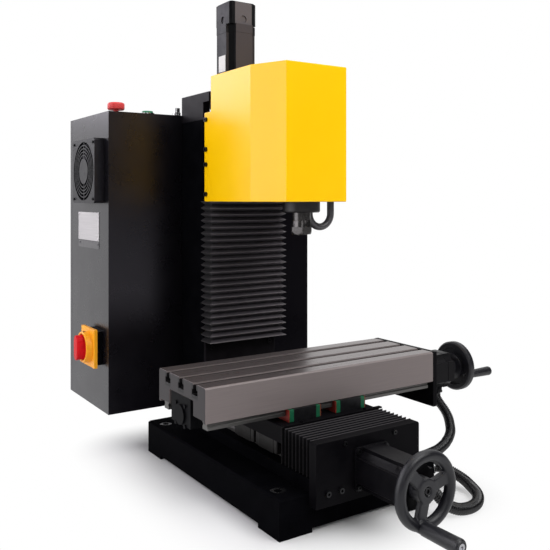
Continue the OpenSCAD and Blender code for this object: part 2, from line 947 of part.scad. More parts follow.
// Fixed half of a hinge: leaf on the cabinet's side, knuckle and pin
module fixed_knuckle(z) {
    box([cab_w / 2 - 0.5, hinge_y - 26, z - knuckle_l], [cab_w / 2 + 2.5, hinge_y, z]);
    box([cab_w / 2 - 0.5, hinge_y - 3, z - knuckle_l], [hinge_x, hinge_y, z]);
    translate([hinge_x, hinge_y, z - knuckle_l])
        cylinder(r = hinge_r, h = knuckle_l);
    translate([hinge_x, hinge_y, z - 1])
        cylinder(d = hinge_pin_d, h = knuckle_l + 1);
}

// Plate inside the cabinet that carries the electrics, on its stand-offs
panel_t = 3;
panel_gap = 6;
panel_y = cab_y + sheet + panel_gap;
panel_w = cab_w / 2 - 34;
panel_h = cab_h - 80;
panel_z = cab_z + 40;
module mounting_panel() {
    color("#c9c9cc") {
        box([-panel_w, panel_y, panel_z], [panel_w, panel_y + panel_t, panel_z + panel_h]);
        for (sx = [-1, 1], z = [panel_z + 15, panel_z + panel_h - 15])
            along_y([sx * (panel_w - 15), cab_y + sheet, z])
                cylinder(d = 12, h = panel_gap);
    }
}

// Switched power supply in a perforated case, sized as shares of the panel
supply_x = -panel_w * 0.635;
supply_w = panel_w * 0.61;
supply_d = cab_d * 0.25;
supply_z = panel_z + panel_h * 0.085;
supply_h = panel_h * 0.455;
module power_supply() {
    slot_in = supply_w * 0.17;
    pitch = supply_h * 0.08;
    slot_z = supply_z + supply_h * 0.14;
    back = panel_y + panel_t + supply_d;
    color("#b4b6b8")
        difference() {
            box([supply_x, panel_y + panel_t, supply_z], [supply_x + supply_w, back, supply_z + supply_h]);
            for (i = [0:9])
                box([supply_x + slot_in, back - 2, slot_z + i * pitch],
                    [supply_x + supply_w - slot_in, back + 1, slot_z + (i + 0.35) * pitch]);
        }
}

// Three axis drives in a row and the spindle drive above the power supply
drive_w = panel_w * 0.212;
drive_pitch = panel_w * 0.275;
drive_h = panel_h * 0.317;
module drive_units() {
    y0 = panel_y + panel_t;
    color("#2f3a46") {
        for (i = [0:2])
            translate([panel_w * 0.159 + i * drive_pitch, y0, panel_z + panel_h * 0.106])
                finned_case(drive_w, cab_d * 0.425, drive_h);
        translate([-panel_w * 0.58, y0, panel_z + panel_h * 0.613])
            finned_case(panel_w * 0.635, cab_d * 0.495, drive_h);
    }
}

module finned_case(w, d, h) {
    difference() {
        cube([w, d, h]);
        for (i = [1:floor(w / 8) - 1])
            translate([i * 8 - 2, d - 14, 12])
                cube([4, 15, h - 24]);
    }
}

// Fan on the cabinet's left side, drawn along +Z from the wall
module at_fan() {
    against_x([cab_side, fan_y, fan_z])
        children();
}

fan_pin_d = 4;
module fan_frame() {
    color("#202024")
        at_fan() {
            difference() {
                linear_extrude(fan_t)
                    flange_profile(fan_s);
                translate([0, 0, -1])
                    cylinder(d = fan_s - 6, h = fan_t + 2);
                at_corners(fan_screw_pitch)
                    translate([0, 0, 4])
                        cylinder(d = 8, h = fan_t);
            }
            cylinder(d = fan_s * 0.35, h = 4);
            for (q = [0:3])
                rotate([0, 0, q * 90 + 20])
                    translate([0, -2.5, 0])
                        cube([fan_s / 2 - 2, 5, 3]);
            cylinder(d = fan_pin_d, h = fan_t - 6);
        }
}

// Square cover plate with a round grille: a disc, rings and four spokes
fan_screw_pitch = fan_s * 0.875;
module fan_guard() {
    ring_w = 2;
    opening_r = fan_s * 0.46;
    disc_r = fan_s * 0.2;
    rings = 4;
    ring_pitch = (opening_r - disc_r) / (rings + 1);
    color("#111114")
        at_fan()
            translate([0, 0, fan_t])
                union() {
                    difference() {
                        linear_extrude(guard_t)
                            flange_profile(fan_s);
                        translate([0, 0, -1])
                            cylinder(r = opening_r, h = guard_t + 2);
                    }
                    cylinder(r = disc_r, h = guard_t);
                    for (i = [1:rings])
                        tube(disc_r + i * ring_pitch + ring_w / 2,
                            disc_r + i * ring_pitch - ring_w / 2, guard_t);
                    for (q = [0:3])
                        rotate([0, 0, q * 90])
                            translate([disc_r - 1, -1.5, 0])
                                cube([opening_r - disc_r + 2, 3, guard_t - 1]);
                }
}

module fan_rotor() {
    hub_d = fan_s * 0.34;
    blade_r = fan_s / 2 - 6;
    blade_w = fan_t * 0.85;
    color("#1c1c20")
        at_fan()
            difference() {
                union() {
                    translate([0, 0, 4.4])
                        cylinder(d = hub_d, h = fan_t - 7);
                    for (i = [0:6])
                        rotate([0, 0, i * 360 / 7])
                            translate([hub_d / 2 - 1, 0, fan_t / 2 + 0.5])
                                rotate([35, 0, 0])
                                    translate([0, -blade_w / 2, -0.9])
                                        cube([blade_r - hub_d / 2 - 1.5, blade_w, 1.8]);
                }
                translate([0, 0, 3])
                    cylinder(d = fan_pin_d + 2 * run_clear, h = fan_t - 6 + slack - 3);
            }
}

// Main switch on the cabinet's left side
module at_switch() {
    against_x([cab_side, switch_y, switch_z])
        children();
}

switch_pin_d = 10;
module main_switch_plate() {
    color("#f6b22c")
        at_switch()
            difference() {
                union() {
                    chamfered_block(switch_s, switch_s, switch_t, 2);
                    translate([0, 0, switch_t])
                        cylinder(d = knob_d + 6, h = 4);
                    cylinder(d = switch_pin_d, h = switch_t + 14);
                }
                at_corners(switch_s - 14)
                    translate([0, 0, switch_t - 3])
                        cylinder(d = 5, h = 4);
            }
}

module main_switch_knob() {
    knob_z = switch_t + 4 + slack;
    color("#d4202c")
        at_switch()
            difference() {
                union() {
                    translate([0, 0, knob_z])
                        cylinder(d = knob_d, h = 9);
                    translate([-knob_d / 2 + 1, -9, knob_z])
                        cube([knob_d - 2, 18, 24]);
                }
                translate([0, 0, knob_z - 1])
                    cylinder(d = switch_pin_d + 2 * run_clear, h = switch_t + 14 + slack - knob_z + 1);
                for (s = [-1, 1])
                    translate([s * 13, 0, knob_z + 12])
                        rotate([90, 0, 0])
                            cylinder(d = 6, h = 30, center = true);
            }
}

// Fixed fittings on the cabinet's top: button barrels and bezels, and the round connector
stem_d = 10;
module button_barrel(bezel_d, bezel_h) {
    difference() {
        union() {
            cylinder(d = bezel_d, h = bezel_h);
            translate([0, 0, -28])
                cylinder(d = barrel_d - 0.6, h = 28.5);
            translate([0, 0, -sheet - 5])
                cylinder(d = barrel_d + 8, h = 5, $fn = 6);
        }
        translate([0, 0, -24])
            cylinder(d = stem_d + 2 * run_clear, h = 40);
    }
}

module top_fittings() {
    color("#b9bbc0") {
        translate([stop_x, button_y, cab_top])
            button_barrel(stop_d - 4, 3);
        translate([start_x, button_y, cab_top])
            difference() {
                button_barrel(start_d, 6);
                translate([0, 0, 2])
                    cylinder(d = start_d - 5, h = 5);
            }
        translate([plug_x, plug_y, cab_top]) {
            cylinder(d = 20, h = 3, $fn = 6);
            translate([0, 0, 3])
                knurled(17, 12);
            translate([0, 0, 15])
                cylinder(d = 14, h = 9);
        }
    }
}

// Round grip with straight flutes
module knurled(d, h) {
    difference() {
        cylinder(d = d, h = h);
        for (a = [0:30:330])
            rotate([0, 0, a])
                translate([d / 2, 0, -1])
                    cylinder(d = 1.6, h = h + 2);
    }
}

// Emergency stop: mushroom head on its stem
module estop_button() {
    head_z0 = 3 + stop_travel + 1;
    color("#d4202c")
        translate([stop_x, button_y, cab_top])
            rotate_extrude()
                polygon(concat(
                    [[0, -18], [stem_d / 2, -18], [stem_d / 2, head_z0], [stop_d / 2 - 2, head_z0]],
                    [[stop_d / 2, head_z0 + 2]],
                    [for (a = [0:15:90]) [stop_d / 2 - 4 + 4 * cos(a), head_z0 + 10 + 4 * sin(a)]],
                    [[0, head_z0 + 14.5]]
                ));
}

module start_button() {
    color("#3f8f68")
        translate([start_x, button_y, cab_top])
            rotate_extrude()
                polygon([
                    [0, -18], [stem_d / 2, -18], [stem_d / 2, 2 + start_travel + 0.5],
                    [start_d / 2 - 3, 2 + start_travel + 0.5], [start_d / 2 - 3, 9],
                    [start_d / 2 - 4, 10], [0, 10.5]
                ]);
}

// Back door: shallow tray with its half of the hinges and a quarter-turn latch
module cabinet_door() {
    w = cab_w / 2;
    y0 = cab_back + door_gap;
    color("#17171a")
        difference() {
            union() {
                difference() {
                    box([-w, y0, cab_z], [w, y0 + door_t, cab_top]);
                    box([-w + sheet, y0 - 1, cab_z + sheet], [w - sheet, y0 + door_t - sheet,
                        cab_top - sheet]);
                }
                for (z = hinge_z) {
                    box([w - 1, y0 + 1, z + slack], [w + 2.5, y0 + door_t, z + knuckle_l]);
                    box([w - 1, y0, z + slack], [hinge_x, y0 + 3, z + knuckle_l]);
                    translate([hinge_x, hinge_y, z + slack])
                        cylinder(r = hinge_r, h = knuckle_l - slack);
                }
                along_y([-w + 30, y0 + door_t - 1, cab_z + cab_h / 2])
                    cylinder(d = 26, h = 6);
            }
            for (z = hinge_z)
                translate([hinge_x, hinge_y, z])
                    cylinder(d = hinge_pin_d + 2 * run_clear, h = knuckle_l + slack);
        }
}

// Glands on the base and on the Y motor
module gland() {
    cylinder(d = gland_d, h = 6, $fn = 6);
    translate([0, 0, 6])
        cylinder(d = gland_d - 3, h = 3);
    translate([0, 0, 9])
        cylinder(d = gland_d - 1, h = gland_l - 9, $fn = 6);
}

module conduit_glands() {
    color("#8f9196") {
        for (y = base_gland_y)
            along_x([base_w / 2, y, base_gland_z])
                gland();
        along_x([(motor_s - 1) / 2, motor_gland_y, motor_gland_z])
            gland();
    }
}

module floor_conduit() {
    color("#202024")
        swept_tube(carried(floor_points, start_shift, end_shift), conduit_d, [0, 0, 1]);
}

module lower_conduit() {
    color("#202024")
        swept_tube(carried(lower_points, loop_shift, base_shift), conduit_d, [0.7, -0.7, 0]);
}

module upper_conduit() {
    color("#202024")
        swept_tube(carried(upper_points, table_shift, loop_shift), conduit_d, [0.7, -0.7, 0]);
}

// Screws that show on the base, the column and the cabinet
module base_screws() {
    color("#3a3a3e") {
        for (sx = [-1, 1]) {
            against_y([sx * y_plate_w * 0.24, y_plate_front, y_plate_top - 7])
                cap_screw(4);
            for (x = [0.28, 0.4])
                against_y([sx * x * y_plate_w, y_plate_front, y_plate_z0 + 19])
                    cap_screw(5);
        }
        against_y([0, y_plate_front - 5, y_screw_z])
            at_corners(flange_pitch)
                cap_screw(4);
        translate([0, z_screw_y, z_motor_z + 5])
            at_corners(flange_pitch)
                cap_screw(4);
        for (sx = [-1, 1], z = [bed_top + 16, apron_top - 14])
            against_y([sx * (column_w / 2 - 14), column_front - apron_t, z])
                cap_screw(5);
        at_fan()
            translate([0, 0, fan_t + guard_t])
                at_corners(fan_screw_pitch)
                    cap_screw(3);
    }
}

// Saddle

module saddle() {
    color("#6e6560")
        translate([0, axis_y, saddle_z])
            difference() {
                chamfered_block(saddle_w, saddle_l, saddle_h, 1.5);
                for (sx = [-1, 1])
                    translate([sx * (saddle_w / 2 - 6), -saddle_l / 2 - 1, saddle_h - 8])
                        rotate([-90, 0, 0])
                            cylinder(d = 5, h = 9);
            }
}

module guide_blocks() {
    color("#26262a") {
        at_y_blocks()
            block_body(y_guide_h);
        at_x_blocks()
            block_body(x_guide_h);
    }
}

module guide_caps() {
    color("#1f7a4d") {
        at_y_blocks()
            block_caps(y_guide_h);
        at_x_blocks()
            block_caps(x_guide_h);
    }
}

module guide_seals() {
    color("#c8452f") {
        at_y_blocks()
            block_seals(y_guide_h);
        at_x_blocks()
            block_seals(x_guide_h);
    }
}

// Nut housings of the X screw on the saddle and of the Y screw under it
nut_w = 40;
nut_r = 15;
module screw_nuts() {
    color("#4a4a50") {
        difference() {
            union() {
                box([-nut_w / 2, axis_y - nut_r - 3, saddle_top], [nut_w / 2, axis_y + nut_r + 3,
                    x_screw_z]);
                along_x([-nut_w / 2, axis_y, x_screw_z])
                    cylinder(r = nut_r, h = nut_w);
            }
            along_x([-nut_w, axis_y, x_screw_z])
                cylinder(d = screw_d + 2 * run_clear, h = 2 * nut_w);
        }
        difference() {
            union() {
                box([-nut_r - 3, axis_y - nut_w / 2, y_screw_z], [nut_r + 3, axis_y + nut_w / 2, saddle_z]);
                along_y([0, axis_y - nut_w / 2, y_screw_z])
                    cylinder(r = nut_r, h = nut_w);
            }
            along_y([0, axis_y - nut_w, y_screw_z])
                cylinder(d = screw_d + 2 * run_clear, h = 2 * nut_w);
        }
    }
}

// Table

module table() {
    color("#766a67")
        translate([table_x0, axis_y, table_z])
            rotate([90, 0, 90])
                linear_extrude(table_l)
                    table_profile();
}

module table_profile() {
    w = table_w / 2;
    edge = 2.5;
    mouth = 1.2;
    n = slot_w / 2;
    seat_w = w - skirt_w;
    difference() {
        polygon([
            [-w, -skirt_d], [-seat_w, -skirt_d], [-seat_w, 0], [seat_w, 0], [seat_w, -skirt_d], [w,
            -skirt_d],
            [w, table_h - edge], [w - edge, table_h], [-w + edge, table_h], [-w, table_h - edge]
        ]);
        for (i = [-1, 0, 1])
            translate([i * slot_pitch, table_h]) {
                polygon([
                    [-n, -neck_d - 1], [n, -neck_d - 1], [n, -mouth], [n + mouth + 1, 1],
                    [-n - mouth - 1, 1], [-n, -mouth]
                ]);
                translate([-foot_w / 2, -neck_d - foot_h])
                    square([foot_w, foot_h]);
            }
        translate([-recess_w / 2, -1])
            square([recess_w, recess_d + 1]);
    }
}

module x_rails() {
    color("#b9b7b4")
        for (sy = [-1, 1])
            translate([table_x + x_rail_l / 2, axis_y + sy * x_gauge / 2, table_z])
                rotate([-90, 0, 90])
                    rail(x_rail_l);
}

module x_end_plate() {
    color("#141417")
        difference() {
            box([table_x1, axis_y - table_w / 2, table_z - x_plate_drop],
                [x_plate_x, axis_y + table_w / 2, table_top]);
            along_x([table_x1 - 1, axis_y, x_screw_z])
                cylinder(d = pilot_d, h = x_plate_t + 2);
        }
}

module x_motor() {
    color("#17171a")
        union() {
            along_x([x_plate_x, axis_y, x_screw_z])
                motor(motor_l, shaft_d + 2 * run_clear);
            cable_outlet();
        }
}

// Housings and bearings of the X screw, hung in the recess of the table
x_housing_x = [table_x0, table_x1 - 60];
end_cover_t = 3;
module x_bearings() {
    color("#2a2a2e")
        for (x = x_housing_x)
            along_x([x, axis_y, x_screw_z])
                rotate([0, 0, -90]) {
                    bearing_housing(recess_w - 16, recess_d + x_screw_drop, bearing_d / 2 + 3);
                    bearing_pair();
                }
    color("#2a2a2e")
        against_x([table_x0, axis_y, x_screw_z])
            difference() {
                union() {
                    cylinder(d = bearing_d + 6, h = end_cover_t);
                    at_corners(bearing_d + 6)
                        cylinder(d = 6, h = end_cover_t - 1);
                }
                translate([0, 0, -1])
                    cylinder(d = journal_d + 2, h = 2);
            }
}

module table_screws() {
    color("#3a3a3e") {
        along_x([x_plate_x + 5, axis_y, x_screw_z])
            at_corners(flange_pitch)
                cap_screw(4);
        for (sy = [-1, 1], z = [table_z + 10, table_top - 12])
            along_x([x_plate_x, axis_y + sy * (table_w / 2 - 12), z])
                cap_screw(5);
    }
}

// Outlet under the X motor, where its conduit leaves
module cable_outlet() {
    grip_h = outlet_drop / 2;
    translate(outlet) {
        cylinder(d = gland_d - 1, h = grip_h, $fn = 6);
        cylinder(d = gland_d - 3, h = outlet_drop + 2);
    }
}

// Drive lines: screw, coupling and motor shaft, and the pin of the grip

module x_drive_line() {
    x0 = x_housing_x[0];
    x1 = x_housing_x[1] + bearing_t;
    coupling_x = x1 + 4;
    color("#a3a5aa") {
        along_x([x0, axis_y, x_screw_z])
            ball_screw(screw_d, x1 - x0, bearing_t, coupling_l / 2 + 3);
        along_x([coupling_x, axis_y, x_screw_z])
            coupling();
        along_x([coupling_x + coupling_l / 2 + 1, axis_y, x_screw_z])
            cylinder(d = shaft_d, h = x_wheel_x + x_rim_t - 6 - coupling_x - coupling_l / 2 - 1);
        translate([x_wheel_x, axis_y, x_screw_z])
            rotate([x_grip_angle, 0, 0])
                translate([0, x_grip_r, 0])
                    rotate([0, 90, 0])
                        handle_pin(x_seat, x_grip_l);
    }
}

// Pin through a wheel of thickness t on z = 0, with a head beyond its grip
module handle_pin(t, grip_l) {
    cylinder(d = pin_d, h = t + grip_l + 2 * slack + 1);
    translate([0, 0, t + grip_l + 2 * slack])
        difference() {
            cylinder(d = pin_d * 1.8, h = 3);
            translate([0, 0, 1.2])
                cylinder(d = pin_d * 0.8, h = 3, $fn = 6);
        }
}

module x_handwheel() {
    r = x_wheel_d / 2;
    hub_r = 14;
    color("#18181b")
        translate([x_wheel_x, axis_y, x_screw_z])
            rotate([x_grip_angle, 0, 0])
                rotate([0, 90, 0])
                    difference() {
                        rotate_extrude()
                            polygon([
                                [0, -x_hub_l], [hub_r, -x_hub_l], [hub_r, -4], [r * 0.52, 0],
                                [r * 0.52, 4], [r * 0.74, 4],
                                [r * 0.78, 0], [r - 3, 0], [r, 3], [r, x_rim_t - 3], [r - 3,
                                x_rim_t], [r * 0.8, x_rim_t],
                                [r * 0.74, x_rim_t - 4], [r * 0.5, x_rim_t - 4], [r * 0.42,
                                x_rim_t], [0, x_rim_t]
                            ]);
                        translate([0, 0, -x_hub_l - 1])
                            cylinder(d = shaft_d + 2 * seat, h = x_hub_l + x_rim_t - 5);
                        translate([0, x_grip_r, -5])
                            cylinder(d = pin_d + 2 * seat, h = x_rim_t + 20);
                        translate([0, x_grip_r, x_seat])
                            cylinder(d = x_grip_d + 2, h = 10);
                    }
}

module x_grip() {
    color("#1d1d20")
        translate([x_wheel_x, axis_y, x_screw_z])
            rotate([x_grip_angle, 0, 0])
                translate([x_seat + slack, x_grip_r, 0])
                    rotate([0, 90, 0])
                        grip(x_grip_d * 0.62, x_grip_d, x_grip_l);
}

// Turned grip along +Z with rounded ends, bored for its pin
module grip(root_d, end_d, length) {
    edge = 2;
    bore = pin_d / 2 + run_clear;
    rotate_extrude()
        polygon([
            [bore, 0], [root_d / 2 - edge / 2, 0], [root_d / 2, edge / 2], [end_d / 2, length - edge * 2],
            [end_d / 2 - edge / 2, length - edge / 2], [end_d / 2 - edge, length], [bore, length]
        ]);
}

module y_drive_line() {
    y0 = y_housing_y[0];
    y1 = y_housing_y[1] + bearing_t;
    coupling_y = y0 - 4;
    color("#a3a5aa") {
        against_y([0, y1, y_screw_z])
            ball_screw(screw_d, y1 - y0, bearing_t, coupling_l / 2 + 3);
        against_y([0, coupling_y, y_screw_z])
            coupling();
        against_y([0, coupling_y - coupling_l / 2 - 1, y_screw_z])
            cylinder(d = shaft_d, h = coupling_y - coupling_l / 2 - 1 - y_wheel_y - 1);
        against_y([0, y_wheel_y, y_screw_z])
            rotate([0, 0, y_grip_angle])
                translate([wheel_rim_r, 0, -y_rim_d / 2])
                    handle_pin(y_rim_d, y_grip_l);
    }
}

// Hand wheel with a round rim, three spokes and a hub, its axis along -Y
module y_handwheel() {
    hub_back = -16;
    hub_front = 5;
    web_t = 9;
    inner_r = y_wheel_d / 2 - y_rim_d / 2;
    color("#1b1b1f")
        against_y([0, y_wheel_y, y_screw_z])
            rotate([0, 0, y_grip_angle])
                difference() {
                    union() {
                        rotate_extrude()
                            translate([wheel_rim_r, 0])
                                circle(d = y_rim_d);
                        translate([0, 0, hub_back])
                            cylinder(d = y_hub_d, h = hub_front - hub_back);
                        for (a = [0, 120, 240])
                            rotate([0, 0, a])
                                translate([0, -spoke_w / 2, -web_t / 2 - 1])
                                    cube([inner_r, spoke_w, web_t]);
                        translate([wheel_rim_r, 0, -y_rim_d / 2])
                            cylinder(d = y_rim_d + 2, h = y_rim_d);
                    }
                    translate([0, 0, hub_back - 1])
                        cylinder(d = shaft_d + 2 * seat, h = 17.5);
                    translate([0, 0, hub_front - 4])
                        cylinder(d = 12, h = 6);
                    translate([wheel_rim_r, 0, -y_rim_d])
                        cylinder(d = pin_d + 2 * seat, h = 2 * y_rim_d);
                }
}

module y_grip() {
    color("#1d1d20")
        against_y([0, y_wheel_y, y_screw_z])
            rotate([0, 0, y_grip_angle])
                translate([wheel_rim_r, 0, y_rim_d / 2 + slack])
                    grip(y_grip_d - 1, y_grip_d, y_grip_l);
}

module z_drive_line() {
    z0 = z_housing_z[0];
    z1 = z_housing_z[1] + bearing_t;
    coupling_z = z1 + 4;
    color("#a3a5aa")
        translate([0, z_screw_y, 0]) {
            translate([0, 0, z0])
                ball_screw(z_screw_d, z1 - z0, bearing_t, coupling_l / 2 + 3);
            translate([0, 0, coupling_z])
                coupling();
            translate([0, 0, coupling_z + coupling_l / 2 + 1])
                cylinder(d = shaft_d, h = z_motor_z + z_motor_l - 5 - coupling_z - coupling_l / 2 - 1);
        }
}

// Head

// Outline of the head cover, moved in by a distance and cut off at the back
module cover_outline(inset, back) {
    w = cover_w / 2 - inset;
    knee = cover_knee + inset * tan(chamfer_angle / 2);
    nose = cover_front_w / 2 - inset * tan(45 - chamfer_angle / 2);
    polygon([
        [-w, back], [-w, knee], [-nose, cover_front + inset], [nose, cover_front + inset], [w,
        knee], [w, back]
    ]);
}

module head_cover() {
    color("#ffcd00")
        translate([0, 0, head_z])
            difference() {
                linear_extrude(cover_h)
                    cover_outline(0, carriage_back);
                translate([0, 0, -1])
                    linear_extrude(cover_h - cover_t + 1)
                        cover_outline(cover_t, carriage_back + 1);
                box([-cover_w, cover_back, carriage_h], [cover_w, carriage_back + 1, cover_h + 1]);
            }
}

module z_carriage() {
    w = cover_w / 2 - cover_t;
    color("#2a2a2e")
        box([-w, carriage_front, head_z], [w, carriage_back, head_z + carriage_h]);
}

// Bracket from the carriage to the spindle, with the floor of the head
module spindle_mount() {
    arm_w = 84;
    floor_t = 8;
    floor_z = head_z + 2;
    arm_h = 92;
    color("#2e2e33")
        difference() {
            union() {
                translate([0, 0, floor_z])
                    linear_extrude(floor_t)
                        cover_outline(cover_t + 0.5, carriage_front);
                box([-arm_w / 2, spindle_y, floor_z], [arm_w / 2, carriage_front, floor_z + arm_h]);
                translate([0, spindle_y, floor_z])
                    cylinder(d = arm_w - 4, h = arm_h);
            }
            translate([0, spindle_y, floor_z - 1])
                cylinder(d = cartridge_d + 2 * seat, h = arm_h + 2);
        }
}

shaft_in = 32;
module spindle_cartridge() {
    length = 180;
    color("#3a3a3f")
        translate([0, spindle_y, spindle_flange_z])
            difference() {
                rotate_extrude()
                    polygon([
                        [0, 0], [cartridge_d / 2 - 2, 0], [cartridge_d / 2, 2], [cartridge_d / 2,
                        length - 3],
                        [cartridge_d / 2 - 3, length], [0, length]
                    ]);
                translate([0, 0, -1])
                    cylinder(d = nose_d + 2 * run_clear, h = shaft_in + 1 + slack);
            }
}

module z_blocks() {
    color("#26262a")
        at_z_blocks() {
            block_body(z_guide_h);
            block_caps(z_guide_h);
            block_seals(z_guide_h);
        }
}

module z_nut() {
    h = 40;
    z0 = head_z + carriage_h / 2 - h / 2;
    color("#4a4a50")
        difference() {
            union() {
                box([-nut_r - 4, carriage_back, z0], [nut_r + 4, z_screw_y, z0 + h]);
                translate([0, z_screw_y, z0])
                    cylinder(r = nut_r, h = h);
            }
            translate([0, z_screw_y, z0 - 1])
                cylinder(d = z_screw_d + 2 * run_clear, h = h + 2);
        }
}

module head_screws() {
    color("#232327")
        for (s = [-1, 1], z = cover_screw_z)
            translate([s * cover_w / 2, cover_screw_y, head_z + z])
                rotate([0, s * 90, 0])
                    cap_screw(5);
}

// U-bent pipe between the floor of the head and the underside of the cartridge
pipe_x = 22;
pipe_dy = 8;
pipe_z = spindle_flange_z - 2.5;
module bent_pipe() {
    color("#5a565c")
        translate([pipe_x, spindle_y + pipe_dy, 0]) {
            translate([0, 0, pipe_z])
                cylinder(d = pipe_d, h = spindle_flange_z - pipe_z);
            translate([2 * pipe_r, 0, pipe_z])
                cylinder(d = pipe_d, h = head_z + 2 - pipe_z);
            translate([pipe_r, 0, pipe_z])
                rotate([-90, 0, 0])
                    rotate_extrude(angle = 180)
                        translate([pipe_r, 0])
                            circle(d = pipe_d);
        }
}

// Spindle: shaft, collet and nut turn together
thread_d = 24;
socket_d = 17;
module spindle_shaft() {
    top = spindle_flange_z + shaft_in;
    color("#8d8a88")
        translate([0, spindle_y, 0])
            difference() {
                union() {
                    translate([0, 0, nut_top])
                        cylinder(d = nose_d, h = top - nut_top);
                    translate([0, 0, nut_bottom + 6])
                        cylinder(d = thread_d, h = nut_h - 6);
                }
                translate([0, 0, nut_bottom])
                    cylinder(d = socket_d + 2 * seat, h = nut_h + 8);
            }
}

module collet() {
    color("#b4b2b0")
        translate([0, spindle_y, nut_bottom - 1])
            tube(socket_d / 2, collet_bore / 2, nut_h + 8);
}

module collet_nut() {
    hex_h = 12;
    color("#6b676a")
        translate([0, spindle_y, nut_bottom])
            difference() {
                union() {
                    intersection() {
                        cylinder(d = nut_d / cos(30) - 2, h = hex_h, $fn = 6);
                        cylinder(d1 = nut_d - 2, d2 = nut_d + 10, h = hex_h);
                    }
                    translate([0, 0, hex_h])
                        cylinder(d = nut_d - 2, h = nut_h - hex_h);
                }
                translate([0, 0, -1])
                    cylinder(d = socket_d + 2 * slack, h = nut_h);
                translate([0, 0, 6])
                    cylinder(d = thread_d + 2 * seat, h = nut_h);
            }
}

base_casting();
y_rails();
y_motor_plate();
y_motor();
screw_bearings();
column();
column_apron();
z_rails();
z_motor_mount();
z_motor();
z_brake();
z_bellows();
y_bellows();
cabinet_shell();
cabinet_door();
mounting_panel();
power_supply();
drive_units();
fan_frame();
fan_guard();
fan_rotor();
main_switch_plate();
main_switch_knob();
top_fittings();
estop_button();
start_button();
conduit_glands();
floor_conduit();
lower_conduit();
upper_conduit();
base_screws();
saddle();
guide_blocks();
guide_caps();
guide_seals();
screw_nuts();
table();
x_rails();
x_end_plate();
x_motor();
x_bearings();
table_screws();
x_drive_line();
x_handwheel();
x_grip();
y_drive_line();
y_handwheel();
y_grip();
z_drive_line();
head_cover();
z_carriage();
spindle_mount();
spindle_cartridge();
z_blocks();
z_nut();
head_screws();
bent_pipe();
spindle_shaft();
collet();
collet_nut();
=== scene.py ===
import json
import math

import bmesh
import bpy
from mathutils import Matrix, Vector


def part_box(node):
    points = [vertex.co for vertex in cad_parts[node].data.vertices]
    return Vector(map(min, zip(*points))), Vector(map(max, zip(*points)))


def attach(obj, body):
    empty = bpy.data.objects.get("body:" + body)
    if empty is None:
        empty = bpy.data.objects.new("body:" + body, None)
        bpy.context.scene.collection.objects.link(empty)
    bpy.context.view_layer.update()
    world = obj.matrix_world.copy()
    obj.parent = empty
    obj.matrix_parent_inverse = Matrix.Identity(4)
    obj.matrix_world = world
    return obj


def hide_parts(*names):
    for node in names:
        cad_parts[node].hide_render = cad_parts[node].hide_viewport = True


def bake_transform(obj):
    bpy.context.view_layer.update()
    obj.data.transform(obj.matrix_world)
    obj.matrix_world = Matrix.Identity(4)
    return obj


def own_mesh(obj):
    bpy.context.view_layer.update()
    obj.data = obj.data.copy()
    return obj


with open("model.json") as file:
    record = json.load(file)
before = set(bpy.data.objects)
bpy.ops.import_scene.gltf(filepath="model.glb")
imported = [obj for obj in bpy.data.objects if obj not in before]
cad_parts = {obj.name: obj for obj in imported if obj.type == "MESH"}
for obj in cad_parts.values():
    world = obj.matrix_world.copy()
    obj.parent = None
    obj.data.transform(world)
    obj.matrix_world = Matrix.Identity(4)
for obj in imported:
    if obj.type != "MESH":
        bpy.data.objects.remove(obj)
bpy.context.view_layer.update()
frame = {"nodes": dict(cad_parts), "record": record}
nodes = frame["nodes"]
scene = bpy.context.scene
scene.view_settings.view_transform = "Standard"


# Camera at the photograph's viewing angle
CAMERA_AT = Vector((-0.708, -1.0565, 0.4704))
CAMERA_LOOK = Vector((0.5513, 0.8343, 0.0))
camera_data = bpy.data.cameras.new("camera")
camera_data.sensor_width = 36.0
camera_data.lens = 48.2
camera_data.shift_y = -0.139
camera = bpy.data.objects.new("camera", camera_data)
camera.location = CAMERA_AT
camera.rotation_mode = "QUATERNION"
camera.rotation_quaternion = CAMERA_LOOK.to_track_quat("-Z", "Y")
scene.collection.objects.link(camera)
scene.camera = camera


# Mesh helpers, all in metres in the shared frame

PATH_STEPS = 24
OFF_AXIS = Vector((0.31, 0.17, 0.93))
WELD_DISTANCE = 1e-5


def new_object(name, verts, faces, smooth=True):
    mesh = bpy.data.meshes.new(name)
    mesh.from_pydata([tuple(v) for v in verts], [], faces)
    mesh.validate()
    if smooth:
        mesh.shade_smooth()
    obj = bpy.data.objects.new(name, mesh)
    scene.collection.objects.link(obj)
    return obj


def from_bmesh(name, bm, smooth=True):
    mesh = bpy.data.meshes.new(name)
    bmesh.ops.recalc_face_normals(bm, faces=bm.faces)
    bm.to_mesh(mesh)
    bm.free()
    if smooth:
        mesh.shade_smooth()
    obj = bpy.data.objects.new(name, mesh)
    scene.collection.objects.link(obj)
    return obj


def bevelled(obj, width, segments=2, angle=35.0):
    weld = obj.modifiers.new("weld", "WELD")
    weld.merge_threshold = WELD_DISTANCE
    edge = obj.modifiers.new("edge", "BEVEL")
    edge.width = width
    edge.segments = segments
    edge.limit_method = "ANGLE"
    edge.angle_limit = math.radians(angle)
    edge.harden_normals = True
    return obj


def place(obj, body, mat):
    obj.data.materials.append(mat)
    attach(obj, body)
    return obj


